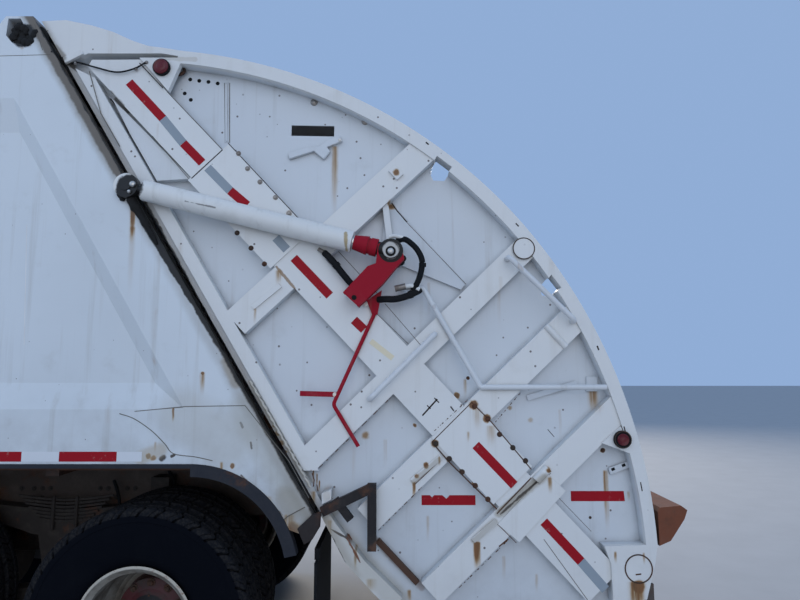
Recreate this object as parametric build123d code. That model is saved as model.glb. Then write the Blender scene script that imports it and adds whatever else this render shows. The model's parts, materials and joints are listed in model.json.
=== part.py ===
from build123d import *
from math import atan2, cos, hypot, radians, sin
import os

# Rear-loading garbage truck on a three-axle chassis, with a bonneted cab.
# Millimetres. +X points to the rear, -Y to the truck's left side, +Z up.
# The origin is on the ground, in the middle of the truck's length and width.

# Overall places along the truck
REAR_END = 4730
HALF_WIDTH = 1220

# Axles and wheels
FRONT_AXLE_X = -3700
TANDEM_X = (868, 2238)
TYRE_R = 520
TYRE_W = 270
DISC_R = 245
FRONT_WHEEL_Y = 1055
DUAL_Y = (765, 1080)
KINGPIN_Y = 880
SPINDLE_R = 45

# Chassis rails
RAIL_IN, RAIL_OUT = 350, 430
RAIL_LOW, RAIL_TOP = 830, 1090
RAIL_X = (-4530, 2780)

TOW_EYE = (-4663, 465)
TOW_EYE_R = 25

# Cab and hood
CAB_FRONT, CAB_BACK = -3320, -1830
CAB_LOW = 1095
CAB_WALL = 45
DOOR_GAP = 10
DOOR_HINGE = (-3116, 1001)
HOOD_BACK = -3345
FENDER_R = (640, 675)

# Load body
BODY_FRONT = -1500
BODY_WALL = 50
BODY_FLOOR = 1235
BODY_FLOOR_T = 25
BODY_ROOF = 3300
INSIDE_Y = HALF_WIDTH - BODY_WALL
RECESS_DEPTH = 38

# Sloping seam between body and tailgate, and the hinge above it
SEAM_TOP = (1610, 3390)
SEAM_LOW = (3045, 1000)
SEAM_GAP = 12
HINGE = (1534, 3319)
HINGE_PIN_R = 25
LUG_Y = (1045, 1105)

# Tailgate sides: plate, ribs and rim, as distances from the centre line
PLATE_IN, PLATE_OUT = 1107, 1115
RIB_OUT = 1180
RIM_OUT = 1190
RIM_CENTRE = (2097, 742)
RIM_R = (2440, 2505)

# Slide track, as a start point and a slope below the horizontal
TRACK_START = (2077.5, 3080)
TRACK_DEG = 46.57
TRACK_HALF = 100
TRACK_LEN = 3290
PIVOT_DOWN = 2588
SLIDE_TRAVEL = 900
SWEEP_R = 700
TROUGH_R = (712, 775)

# Lift cylinders: pin at the body, pin at the tailgate
LIFT_BASE = (2124, 2527)
LIFT_ROD = (3377, 2212)
LIFT_Y = 1241
LIFT_BARREL_R = 50
LIFT_ROD_R = 32
LIFT_BARREL_LEN = 1105

# Sweep cylinders, placed along and off the track from the blade pivot
SWEEP_BASE = (-850, 130)
SWEEP_ARM_R = 230
SWEEP_ARM_DEG = -15
SWEEP_Y = 700
SWEEP_BARREL_R = 48
SWEEP_ROD_R = 26
SWEEP_BARREL_LEN = 590

# Slide cylinders
SLIDE_Y = 985
SLIDE_OFF = 130
SLIDE_BARREL = (150, 1250)
SLIDE_ROD = (300, 1388)

TRACK_T = (cos(radians(TRACK_DEG)), -sin(radians(TRACK_DEG)))
TRACK_N = (sin(radians(TRACK_DEG)), cos(radians(TRACK_DEG)))


def track(s, n):
    """X and Z of a point s along the slide track and n off it, towards the rear."""
    x = TRACK_START[0] + s * TRACK_T[0] + n * TRACK_N[0]
    z = TRACK_START[1] + s * TRACK_T[1] + n * TRACK_N[1]
    return (x, z)


def polar(centre, radius, angle):
    """X and Z of a point on a circle, with the angle in degrees from +X towards +Z."""
    return (centre[0] + radius * cos(radians(angle)), centre[1] + radius * sin(radians(angle)))


def seam(z, gap=0.0):
    """X of the sloping seam at a height, moved to the rear by a gap square to it."""
    slope = (SEAM_LOW[0] - SEAM_TOP[0]) / (SEAM_TOP[1] - SEAM_LOW[1])
    return SEAM_TOP[0] + slope * (SEAM_TOP[1] - z) + gap * hypot(1, slope)


def block(x0, x1, y0, y1, z0, z1):
    """Rectangular solid between three pairs of planes."""
    return Pos((x0 + x1) / 2, (y0 + y1) / 2, (z0 + z1) / 2) * Box(x1 - x0, y1 - y0, z1 - z0)


def polygon(points):
    """Face with straight edges through a list of points."""
    return make_face(Polyline(*points, close=True))


def across(face, y0, y1):
    """Solid of a face drawn in the X-Z plane, between two Y planes."""
    return Plane.XZ * (Pos(0, 0, -y1) * extrude(face, y1 - y0))


def along(face, x0, x1):
    """Solid of a face drawn in the Y-Z plane, between two X planes."""
    return Plane.YZ * (Pos(0, 0, x0) * extrude(face, x1 - x0))


def rod(a, b, radius):
    """Round bar between two points in space."""
    start, end = Vector(*a), Vector(*b)
    place = Plane(origin=start, z_dir=end - start)
    return place * Cylinder(radius, (end - start).length, align=(Align.CENTER, Align.CENTER, Align.MIN))


def strip(a, b, width):
    """Face of a straight strip between two points, with square ends."""
    run = hypot(b[0] - a[0], b[1] - a[1])
    dx, dz = (b[0] - a[0]) / run * width / 2, (b[1] - a[1]) / run * width / 2
    return polygon([(a[0] - dz, a[1] + dx), (b[0] - dz, b[1] + dx), (b[0] + dz, b[1] - dx),
                    (a[0] + dz, a[1] - dx)])


def ring_face(centre, r_in, r_out, start, end):
    """Face of a ring segment between two angles in degrees."""
    span = end - start
    lines = CenterArc(centre, r_out, start, span)
    lines += Line(polar(centre, r_out, end), polar(centre, r_in, end))
    lines += CenterArc(centre, r_in, start, span)
    lines += Line(polar(centre, r_in, start), polar(centre, r_out, start))
    return make_face(lines)


def bent_tube(points, radius, bend):
    """Round tube, solid inside, along straight runs joined by arcs."""
    path = FilletPolyline(*points, radius=bend)
    return sweep(Plane(origin=path @ 0, z_dir=path % 0) * Circle(radius), path=path)


def mirrored(shape):
    """The same shape on the truck's other side."""
    return mirror(shape, about=Plane.XZ)


def pair(shape):
    """A left-hand shape and its right-hand twin."""
    return [shape, mirrored(shape)]


PIECES = {}
os.makedirs("parts", exist_ok=True)


def piece(name, *shapes):
    """Keep one named piece, made of one or more solids."""
    solids = [solid for shape in shapes for solid in shape.solids()]
    PIECES[name] = solids


# Chassis

def chassis_frame():
    """Two channel rails, their cross-members and the front and rear hangers."""
    frame = None
    for side in (-1, 1):
        y_in, y_out = sorted((side * RAIL_IN, side * RAIL_OUT))
        web = block(*RAIL_X, y_in, y_out, RAIL_LOW, RAIL_TOP)
        hollow_in = side * (RAIL_IN - 1)
        hollow_out = side * (RAIL_OUT - 10)
        h0, h1 = sorted((hollow_in, hollow_out))
        rail = web - block(RAIL_X[0] - 1, RAIL_X[1] + 1, h0, h1, RAIL_LOW + 10, RAIL_TOP - 10)
        frame = rail if frame is None else frame + rail
    # x place, half depth along x, bottom, top of each cross-member
    members = (
        (-4500, 30, RAIL_LOW + 20, RAIL_TOP - 20),
        (-2350, 40, RAIL_LOW + 160, RAIL_TOP - 20),
        (-700, 40, RAIL_LOW + 20, RAIL_TOP - 20),
        (1553, 60, RAIL_LOW + 10, RAIL_TOP - 10),
        (2740, 40, RAIL_LOW + 10, RAIL_TOP - 10),
    )
    for x, half, low, top in members:
        frame += block(x - half, x + half, 10 - RAIL_OUT, RAIL_OUT - 10, low, top)
    return frame


def front_bumper():
    """Swept steel bumper on two brackets."""
    plan = polygon([(-4600, -1180), (-4700, -1090), (-4730, -900), (-4730, 900), (-4700, 1090), (-4600, 1180),
                    (-4585, 1165), (-4680, 1075), (-4710, 895), (-4710, -895), (-4680, -1075), (-4585, -1165)])
    bar = Pos(0, 0, 500) * extrude(plan, 320)
    for side in (-1, 1):
        y0, y1 = sorted((side * RAIL_IN, side * RAIL_OUT))
        bar += block(-4715, RAIL_X[0] + 150, y0, y1, RAIL_LOW - 130, RAIL_LOW - 10)
        bar += block(RAIL_X[0], RAIL_X[0] + 150, y0, y1, RAIL_LOW - 20, RAIL_LOW)
    return bar


def tow_eyes():
    """Two towing eyes under the front bumper's brackets."""
    face = polygon([(-4708, 700), (-4600, 700), (-4620, 440), (-4640, 418), (-4700, 418), (-4708, 440)])
    x, z = TOW_EYE
    eyes = []
    for y in (-405, 375):
        eyes.append(across(face, y, y + 30) - rod((x, y - 1, z), (x, y + 31, z), TOW_EYE_R))
    return eyes


def drivetrain():
    """Plain engine block with gearbox, radiator, and the shafts to the rear axles."""
    engine = block(-4300, -3360, -300, 300, 760, 1600) + block(-3360, -2750, -200, 200, 780, 1060)
    radiator = block(-4470, -4400, -340, 340, 1080, 1600) + block(-4400, -4300, -250, 250, 1080, 1300)
    shaft = rod((-2750, 0, 960), (TANDEM_X[0] - 330, 0, 640), 50)
    shaft += rod((TANDEM_X[0] + 330, 0, 600), (TANDEM_X[1] - 330, 0, 600), 45)
    return [engine + radiator, shaft]


def front_axle():
    """Dropped I-beam with kingpin bosses and leaf springs up to the rails."""
    beam_face = polygon([(-860, 470), (-560, 400), (560, 400), (860, 470),
                         (860, 560), (560, 490), (-560, 490), (-860, 560)])
    beam = along(beam_face, FRONT_AXLE_X - 50, FRONT_AXLE_X + 50)
    for side in (-1, 1):
        beam += Pos(FRONT_AXLE_X, side * KINGPIN_Y, 515) * Cylinder(48, 130)
        y0, y1 = sorted((side * 350, side * 430))
        beam += across(leaf_pack(FRONT_AXLE_X, 490, 640, 90, 62, 830), y0, y1)
    return beam


def leaf_pack(x, seat, half, rise, thick, rail):
    """Side face of a leaf spring: a flat arc with stepped leaves and two hangers up to the rail."""
    low = [(x - 80, seat), (x + 80, seat), (x + half * 0.55, seat + rise * 0.45), (x + half, seat + rise)]
    hang = [(x + half + 30, rail), (x + half - 40, rail), (x + half - 40, seat + rise + thick * 0.7)]
    mid = [(x + half * 0.55, seat + rise * 0.45 + thick), (x, seat + thick * 1.6),
           (x - half * 0.55, seat + rise * 0.45 + thick)]
    back = [(x - half + 40, seat + rise + thick * 0.7), (x - half + 40, rail), (x - half - 30, rail)]
    tail = [(x - half, seat + rise), (x - half * 0.55, seat + rise * 0.45)]
    return polygon(low + hang + mid + back + tail)


def rear_bogie():
    """Two drive axles, the walking beams that join their ends, and the springs over the beams."""
    solids = []
    for x in TANDEM_X:
        housing = rod((x, -600, TYRE_R), (x, 600, TYRE_R), 85) + rod((x, -980, TYRE_R), (x, 980, TYRE_R), 68)
        bowl = Pos(x, 0, TYRE_R) * Rot(0, 90, 0) * Cylinder(215, 200)
        housing += bowl + rod((x, 0, 600), (x - 325, 0, 605), 95)
        if x == TANDEM_X[0]:
            housing += rod((x, 0, 600), (x + 325, 0, 600), 85)
        solids.append(housing)
    middle = sum(TANDEM_X) / 2
    for side in (-1, 1):
        y0, y1 = sorted((side * 450, side * 540))
        beam_face = polygon([(TANDEM_X[0] - 90, 330), (middle - 120, 300), (middle + 120, 300),
                             (TANDEM_X[1] + 90, 330), (TANDEM_X[1] + 90, 440), (middle + 130, 470),
                             (middle - 130, 470), (TANDEM_X[0] - 90, 440)])
        beam = across(beam_face, y0, y1)
        saddle = polygon([(middle - 90, 460), (middle + 90, 460), (middle + 150, 760), (middle - 150, 760)])
        beam += across(saddle, y0, y1)
        spring = polygon([(middle - 560, 900), (middle - 480, 850), (middle - 170, 750), (middle + 170, 750),
                          (middle + 480, 850), (middle + 560, 900), (middle + 560, 930), (middle + 170, 890),
                          (middle - 170, 890), (middle - 560, 930)])
        beam += across(spring, y0, y1)
        y0, y1 = sorted((side * RAIL_OUT, side * 545))
        for end in (middle - 520, middle + 520):
            beam += block(end - 50, end + 50, y0, y1, 880, 1060)
        solids.append(beam)
    return solids


# Wheels

def tyre(y_centre):
    """One tyre on its side: a turned ring with a flat tread and sloping shoulders."""
    half = TYRE_W / 2
    profile = polygon([(DISC_R + 6, half - 30), (DISC_R + 90, half), (TYRE_R - 50, half - 4),
                       (TYRE_R - 12, half - 24), (TYRE_R, half - 60), (TYRE_R, 60 - half),
                       (TYRE_R - 12, 24 - half), (TYRE_R - 50, 4 - half), (DISC_R + 90, -half),
                       (DISC_R + 6, 30 - half)])
    ring = revolve(profile, Axis.Y, 360)
    return Pos(0, y_centre, 0) * ring


def front_rim(side):
    """Disc wheel with its hub, dished outwards, for a steered wheel."""
    profile = polygon([(DISC_R + 6, -105), (DISC_R + 6, 105), (DISC_R + 22, 128), (DISC_R + 10, 132),
                       (DISC_R - 14, 105), (DISC_R - 20, 60), (DISC_R - 37, 40), (DISC_R - 55, 105),
                       (150, 112), (145, 112), (110, 112), (105, 175), (60, 182), (60, 60), (52, 60), (52, 20),
                       (130, 20), (140, 92), (DISC_R - 65, 86), (DISC_R - 47, 20), (DISC_R - 20, 10),
                       (DISC_R - 18, -105)])
    disc = revolve(profile, Axis.Y, 360)
    return disc if side > 0 else mirrored(disc)


def dual_rim():
    """Pair of dished disc wheels back to back on one hub and drum, for the right side, around y = 0."""
    middle = (DUAL_Y[0] + DUAL_Y[1]) / 2
    outer = DUAL_Y[1] - middle
    rim_in = -outer
    # The outer wheel's rim and deep dish, the hub's nose, then the inner wheel's rim and the drum
    profile = polygon([
        (DISC_R + 6, outer - 105), (DISC_R + 6, outer + 105), (DISC_R + 22, outer + 128),
        (DISC_R + 10, outer + 132), (DISC_R - 14, outer + 105), (DISC_R - 20, outer - 60),
        (DISC_R - 42, 30), (DISC_R - 60, 12), (160, 10), (155, 95), (110, 110), (60, 140), (60, 60), (78, 60),
        (78, -110), (120, -110), (120, -200), (DISC_R - 67, -200), (DISC_R - 67, -12), (DISC_R - 60, -12),
        (DISC_R - 42, -30), (DISC_R - 20, rim_in + 60), (DISC_R - 14, rim_in - 105),
        (DISC_R + 10, rim_in - 132), (DISC_R + 22, rim_in - 128), (DISC_R + 6, rim_in - 105),
        (DISC_R + 6, rim_in + 105), (DISC_R - 6, rim_in + 80), (DISC_R - 30, -8), (DISC_R - 30, 8),
        (DISC_R - 6, outer - 80)])
    return revolve(profile, Axis.Y, 360), middle


def knuckle(side):
    """Steering knuckle: two ears on the kingpin, a spindle and a steering arm."""
    ears = block(FRONT_AXLE_X - 45, FRONT_AXLE_X + 45, KINGPIN_Y - 45, KINGPIN_Y + 60, 400, 444)
    ears += block(FRONT_AXLE_X - 45, FRONT_AXLE_X + 45, KINGPIN_Y - 45, KINGPIN_Y + 60, 586, 630)
    ears += block(FRONT_AXLE_X - 45, FRONT_AXLE_X + 45, KINGPIN_Y + 54, KINGPIN_Y + 84, 400, 630)
    ears += rod((FRONT_AXLE_X, KINGPIN_Y + 70, TYRE_R), (FRONT_AXLE_X, FRONT_WHEEL_Y + 75, TYRE_R), SPINDLE_R)
    ears += block(FRONT_AXLE_X + 40, FRONT_AXLE_X + 230, KINGPIN_Y - 30, KINGPIN_Y + 10, 405, 440)
    return ears if side > 0 else mirrored(ears)


# Cab and hood

def cab_solid(inset):
    """Whole cab as one closed solid, its skin moved inwards by an inset."""
    i = inset
    profile = polygon([(CAB_FRONT + i, CAB_LOW + i), (CAB_FRONT + i, 1900 - i * 0.6),
                       (-3210 + i * 1.1, 1975 - i * 0.5), (-2900 + i * 1.15, 2650 - i), (-2800 + i, 2740 - i),
                       (-1930 - i, 2800 - i), (CAB_BACK - i, 2720 - i), (CAB_BACK - i, CAB_LOW + i)])
    low, belt, top = 1000 - i, 1000 - i, 925 - i
    section = polygon([(-low, CAB_LOW + i), (-belt, 1950), (-top, 2650), (-top + 90, 2800 - i),
                       (top - 90, 2800 - i), (top, 2650), (belt, 1950), (low, CAB_LOW + i)])
    return across(profile, -1100, 1100) & along(section, -3400, -1700)


DOOR_EDGE = [(-3116, 1155), (-3116, 1950), (-2838, 2580), (-2150, 2620), (-2150, 1155)]
DOOR_PANE = [(-3010, 1985), (-2780, 2515), (-2245, 2540), (-2245, 1985)]


def grown(points, by):
    """Outline with straight edges moved outwards by a distance."""
    return offset(polygon(points), by, kind=Kind.INTERSECTION)


def cab_parts():
    """Cab shell, doors, windscreen and rear window, all cut from one shell."""
    shell = cab_solid(0) - cab_solid(CAB_WALL)
    screen_cut = along(polygon([(-850, 2020), (-790, 2590), (790, 2590), (850, 2020)]), -3400, -2700)
    rear_cut = along(polygon([(-560, 2050), (-560, 2520), (560, 2520), (560, 2050)]), -1930, -1700)
    screen = (cab_solid(18) - cab_solid(26)) & screen_cut
    rear_pane = (cab_solid(18) - cab_solid(26)) & rear_cut
    body = shell - screen_cut - rear_cut
    doors = {}
    for name, side in (("left", -1), ("right", 1)):
        y0, y1 = sorted((side * 800, side * 1050))
        body -= across(grown(DOOR_EDGE, DOOR_GAP), y0, y1)
        leaf = shell & across(polygon(DOOR_EDGE), y0, y1)
        hx, hy = DOOR_HINGE
        relief = polygon([(hx - 1, side * hy), (hx - 1, side * (hy - 62)), (hx + 61, side * (hy - 62))])
        leaf -= Pos(0, 0, 1100) * extrude(relief, 1600)
        pane_hole = across(polygon(DOOR_PANE), y0, y1)
        pane = (cab_solid(18) - cab_solid(25)) & pane_hole
        doors[name] = (leaf - pane_hole, pane)
    return body, screen, rear_pane, doors


def door_mirror(side):
    """Tall mirror head on two arms from the door's upper front."""
    arms = rod((-3085, 980, 1900), (-3130, 1200, 1960), 12) + rod((-3085, 980, 1660), (-3130, 1200, 1780), 12)
    head = block(-3155, -3105, 1130, 1300, 1740, 2180)
    both = arms + head
    return both if side > 0 else mirrored(both)


def cab_interior():
    """Two seats on pedestals, the dashboard, and the steering wheel on its column."""
    solids = []
    for y in (-520, 520):
        seat = block(-2520, -2060, y - 250, y + 250, 1480, 1590)
        back = across(polygon([(-2140, 1560), (-2010, 1560), (-1900, 2250), (-1990, 2250)]), y - 240, y + 240)
        base = block(-2450, -2150, y - 170, y + 170, CAB_LOW + CAB_WALL, 1490)
        solids.append(seat + back + base)
    dash_face = polygon([(-3272, 1500), (-3000, 1560), (-2960, 1800), (-3080, 1880), (-3272, 1860)])
    dash = across(dash_face, -940, 940)
    column = rod((-3050, -520, 1700), (-2760, -520, 1850), 28)
    wheel_plane = Plane(origin=(-2750, -520, 1856), z_dir=(290, 0, 150))
    ring = wheel_plane * Torus(215, 16)
    hub = wheel_plane * Cylinder(55, 30)
    for turn in (90, 210, 330):
        hub += wheel_plane * Rot(0, 0, turn) * Pos(110, 0, 0) * Box(210, 26, 12)
    solids.append(dash + column + ring + hub)
    return solids


def hood_solid(inset):
    """Closed solid of the hood's nose, its skin moved inwards by an inset."""
    i = inset
    back = HOOD_BACK + (5 if i else 0)
    under = 40 if i else 0
    profile = polygon([(back, 1060 - under), (back, 1930 - i), (-4440, 1720 - i), (-4560 + i, 1640 - i),
                       (-4600 + i, 1050 - 5 * under), (-4600 + i, 880 - under), (-4200, 880 - under)])
    plan = polygon([(-4610, i - 500), (-4610, 500 - i), (HOOD_BACK + 10, 690 - i), (HOOD_BACK + 10, i - 690)])
    section = polygon([(-720, 700), (-720, 1500), (-600 + i * 0.5, 1760 - i * 0.5), (-430, 1990 - i),
                       (430, 1990 - i), (600 - i * 0.5, 1760 - i * 0.5), (720, 1500), (720, 700)])
    solid = across(profile, -720, 720) & (Pos(0, 0, 700) * extrude(plan, 1400))
    return solid & along(section, -4700, -3300)


def hood_parts():
    """Tilting hood with its fenders, the grille bars and the headlamps."""
    nose = hood_solid(0) - hood_solid(30)
    mouth = along(polygon([(-380, 1000), (-400, 1560), (400, 1560), (380, 1000)]), -4700, -4540)
    nose -= mouth
    wheel = (FRONT_AXLE_X, TYRE_R)
    fender = ring_face(wheel, FENDER_R[0], FENDER_R[1], 57, 170)
    fender_nose = polygon([(-4545, 900), (-4400, 900), (-4362, 640), (-4330, 700), (-4310, 820), (-4240, 1000),
                           (-4090, 1160), (-4200, 1200), (-4520, 1150)])
    for side in (-1, 1):
        y0, y1 = sorted((side * 560, side * 1200))
        nose += across(fender, y0, y1) - block(HOOD_BACK, -3000, y0 - 1, y1 + 1, 500, 1300)
        nose += across(fender_nose, y0, y1)
    cavity = hood_solid(30)
    nose -= cavity
    lamps = []
    for side in (-1, 1):
        y0, y1 = sorted((side * 760, side * 1120))
        nose -= block(-4700, -4470, y0 - 6, y1 + 6, 930, 1110)
        lamps.append(block(-4535, -4470, y0, y1, 936, 1104))
    bars = None
    for k in range(9):
        z = 1030 + k * 62
        x = -4570 + (z + 22 - 850) / 19
        bar = block(x, x + 18, -415, 415, z, z + 22)
        bars = bar if bars is None else bars + bar
    for y in (-385, 0, 385):
        bars += across(polygon([(-4559, 1030), (-4545, 1030), (-4518, 1548), (-4533, 1548)]), y - 9, y + 9)
    return nose, bars, lamps


def exhaust():
    """Upright silencer and stack behind the cab, with a pipe down to the rail."""
    x, y = -1665, 760
    pipe = rod((x, y, 1050), (x, y, 1300), 50) + rod((x, y, 1300), (x, y, 2350), 110)
    pipe += rod((x, y, 2350), (x, y, 3180), 55)
    pipe += rod((x, y, 1135), (x, RAIL_OUT - 60, 1135), 42)
    return pipe + block(x - 45, x + 45, RAIL_IN, RAIL_OUT, RAIL_TOP, RAIL_TOP + 70)


def fuel_tank():
    """Round tank on the left rail with straps and two steps."""
    tank = rod((-2950, -800, 730), (-2020, -800, 730), 270)
    for x in (-2800, -2200):
        tank += block(x - 30, x + 30, -700, -RAIL_OUT, 850, 1020)
        tank += rod((x - 25, -800, 730), (x + 25, -800, 730), 276)
    for z in (460, 800):
        tank += block(-2900, -2350, -1180, -1010, z, z + 30)
    for x in (-2850, -2400):
        tank += block(x - 12, x + 12, -1150, -1040, 460, 830)
    return tank


def battery_box():
    """Battery and tool box on the right rail, with two steps."""
    box = block(-2950, -2150, 560, 1010, 480, 980)
    for z in (470, 800):
        box += block(-2900, -2350, 1005, 1180, z, z + 30)
    for x in (-2800, -2300):
        box += block(x - 30, x + 30, RAIL_OUT, 580, 860, 960)
    return box


# Load body

ARCH = (2470, 735)
ARCH_R = 500
ARCH_END = 65


def body_side_face():
    """Side outline of the load body: sill, wheel-arch curve, sloping rear edge and raised hinge corner."""
    arch_tip = polar(ARCH, ARCH_R, 90 - ARCH_END)
    lines = Line((BODY_FRONT, BODY_FLOOR), (ARCH[0], BODY_FLOOR))
    lines += CenterArc(ARCH, ARCH_R, 90, -ARCH_END)
    lines += Polyline(arch_tip, (2985, 925), (seam(1008), 1008), (seam(3400), 3400), (1470, 3400),
                      (1400, BODY_ROOF), (BODY_FRONT, BODY_ROOF), (BODY_FRONT, BODY_FLOOR))
    return make_face(lines)


def body_side():
    """Right-hand wall of the load body with its bevelled recess and the hinge access hole."""
    wall = across(body_side_face(), INSIDE_Y, HALF_WIDTH)
    rim_edge = [(-1400, 1480), (2430, 1480), (1540, 2975), (-1400, 2975)]
    floor_edge = [(-1330, 1600), (2275, 1600), (1556, 2815), (-1330, 2815)]
    recess = loft([Plane.XZ * Pos(0, 0, -HALF_WIDTH) * polygon(rim_edge),
                   Plane.XZ * Pos(0, 0, RECESS_DEPTH - HALF_WIDTH) * polygon(floor_edge)], ruled=True)
    hole = polygon([(1482, 3388), (1542, 3388), (1596, 3292), (1588, 3268), (1545, 3256), (1508, 3262),
                    (1476, 3300)])
    wall = wall - recess - across(hole, INSIDE_Y - 1, HALF_WIDTH + 1)
    x, z = LIFT_BASE
    return wall + rod((x, INSIDE_Y + 10, z), (x, LIFT_Y + 24, z), HINGE_PIN_R)


def body_floor():
    """Floor plate on two long sills, dropping down a ramp to the rear sill beam."""
    top = BODY_FLOOR + BODY_FLOOR_T
    face = polygon([(BODY_FRONT, BODY_FLOOR), (2790, BODY_FLOOR), (2900, 985), (3000, 985), (seam(1062), 1062),
                    (2826, top), (BODY_FRONT, top)])
    floor = across(face, -INSIDE_Y, INSIDE_Y)
    for side in (-1, 1):
        y0, y1 = sorted((side * RAIL_IN, side * RAIL_OUT))
        floor += block(BODY_FRONT, 2850, y0, y1, RAIL_TOP, BODY_FLOOR + 1)
    for k in range(6):
        x = BODY_FRONT + 60 + k * 800
        floor += block(x, x + 60, -1120, 1120, BODY_FLOOR - 70, BODY_FLOOR + 1)
    return floor


def body_roof():
    """Roof plate with the rear header that carries the tailgate's hinge pins."""
    header = polygon([(1300, BODY_ROOF - BODY_WALL), (1300, BODY_ROOF), (1400, BODY_ROOF), (1470, 3400),
                      (seam(3400), 3400), (seam(3225), 3225), (1440, 3225)])
    roof = across(header, -INSIDE_Y, INSIDE_Y)
    roof += block(BODY_FRONT, 1310, -INSIDE_Y, INSIDE_Y, BODY_ROOF - BODY_WALL, BODY_ROOF)
    for side in (-1, 1):
        y0, y1 = sorted((side * (LUG_Y[0] - 8), side * (LUG_Y[1] + 8)))
        roof -= block(1448, 1760, y0, y1, 3238, 3420)
        hx, hz = HINGE
        roof += rod((hx, side * (LUG_Y[0] - 30), hz), (hx, side * INSIDE_Y, hz), HINGE_PIN_R)
    return roof


def body_front():
    """Front wall of the load body with upright stiffeners."""
    low = BODY_FLOOR + BODY_FLOOR_T
    top = BODY_ROOF - BODY_WALL
    wall = block(BODY_FRONT, BODY_FRONT + 30, -INSIDE_Y, INSIDE_Y, low, top)
    for k in range(5):
        y = -900 + k * 450
        wall += block(BODY_FRONT - 35, BODY_FRONT + 1, y - 35, y + 35, low, top)
    return wall


def ejector():
    """Sliding ejector panel, leaning parallel to the seam, on side plates and a sled."""
    slope = (SEAM_LOW[0] - SEAM_TOP[0]) / (SEAM_TOP[1] - SEAM_LOW[1])
    low, top = BODY_FLOOR + BODY_FLOOR_T + 15, 3195
    x_top = -1380
    x_low = x_top + slope * (top - low)
    face = polygon([(x_top, top), (x_top - 40, top), (x_low - 60, low + 60), (x_low - 700, low + 60),
                    (x_low - 700, low), (x_low, low)])
    panel = across(face, -1140, 1140)
    web = polygon([(x_top + 180, top - 350), (x_low - 60, low + 40), (x_low - 690, low + 40)])
    for y in (-1100, -400, 380, 1080):
        panel += across(web, y, y + 20)
    return panel


def mudflaps():
    """Rubber flaps behind the rearmost wheels, hung from a bar under the floor's end."""
    hanger = polygon([(2955, 984), (3000, 984), (3052, 850), (3052, 800), (3030, 800)])
    flaps = []
    for side in (-1, 1):
        flap = block(3036, 3046, *sorted((side * 610, side * 1210)), 330, 800)
        bar = block(3030, 3052, *sorted((side * 380, side * 1160)), 800, 850)
        post = across(hanger, *sorted((side * 380, side * 420)))
        flaps.append(flap + bar + post)
    return flaps


def arch_flanges():
    """Black flanges under the body's sills, curving down behind the rearmost wheels."""
    curve = ring_face(ARCH, ARCH_R - 56, ARCH_R - 1, 12, 90)
    top = BODY_FLOOR - 1
    flanges = []
    for side in (-1, 1):
        y0, y1 = sorted((side * 1172, side * 1225))
        flanges.append(across(curve, y0, y1) + block(BODY_FRONT, ARCH[0] + 1, y0, y1, top - 18, top))
    return flanges


# Tailgate

# Ribs across the tailgate side: start, end and width
RIBS = (
    ((2640, 1880), (3560, 2752), 138),
    ((2995, 1248), (4020, 2240), 116),
    ((3270, 982), (4262, 1918), 132),
    ((3560, 660), (4445, 1490), 124),
)
# Narrow bars on the ribs: start, end and width
RIB_BARS = (
    ((2722, 1953), (2850, 2060), 24),
    ((3474, 1155), (3609, 1263), 24),
    ((3750, 891), (3857, 977), 24),
)
# Round tube ends that lie on the ribs: start, end and radius
RIB_TUBES = (
    ((4110, 1868), (4200, 1768), 15),
    ((4045, 1155), (4100, 1212), 22),
)
# Front rail: its two strips, as distances off the seam, then how far out each reaches
RAILS = (
    (3185, 1010, SEAM_GAP, 40, 1160),
    (3150, 1200, 44, 104, RIB_OUT),
)
# Rusty groove beside the doubler plate that crosses the track
GROOVE = ((3880, 1005), (4098, 1205), 46)
DOUBLER = [(3864, 963), (4089, 1191), (4178, 1110), (3961, 884)]
# Bolted covers on the track: start and end along it, lower and upper edge off it
COVERS = ((582, 1180, -120, 145), (2280, 2690, -110, 138))


def tailgate_outline(gap):
    """Side outline of the tailgate: seam edge, hopper underside, rounded back and level top."""
    centre = track(PIVOT_DOWN, 0)
    under = polar(centre, TROUGH_R[1], 180 + 90 - TRACK_DEG)
    heel = polar(centre, TROUGH_R[1], 295)
    rim_low = (4585, 875)
    rim_top = (2320, 3237)
    lines = Polyline((seam(3232, gap), 3232), (seam(1008, gap), 1008), (3170, 798), under)
    lines += ThreePointArc(under, polar(centre, TROUGH_R[1], 262), heel)
    lines += Polyline(heel, (4465, 588), (4527, 640), (4570, 790), rim_low)
    lines += ThreePointArc(rim_low, polar(RIM_CENTRE, RIM_R[1], 45), rim_top)
    lines += Polyline(rim_top, (2195, 3240), (seam(3232, gap), 3232))
    return make_face(lines)


def track_box(s0, s1, n0, n1, y0, y1):
    """Straight box that follows the slide track."""
    return across(polygon([track(s0, n0), track(s1, n0), track(s1, n1), track(s0, n1)]), y0, y1)


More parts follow.
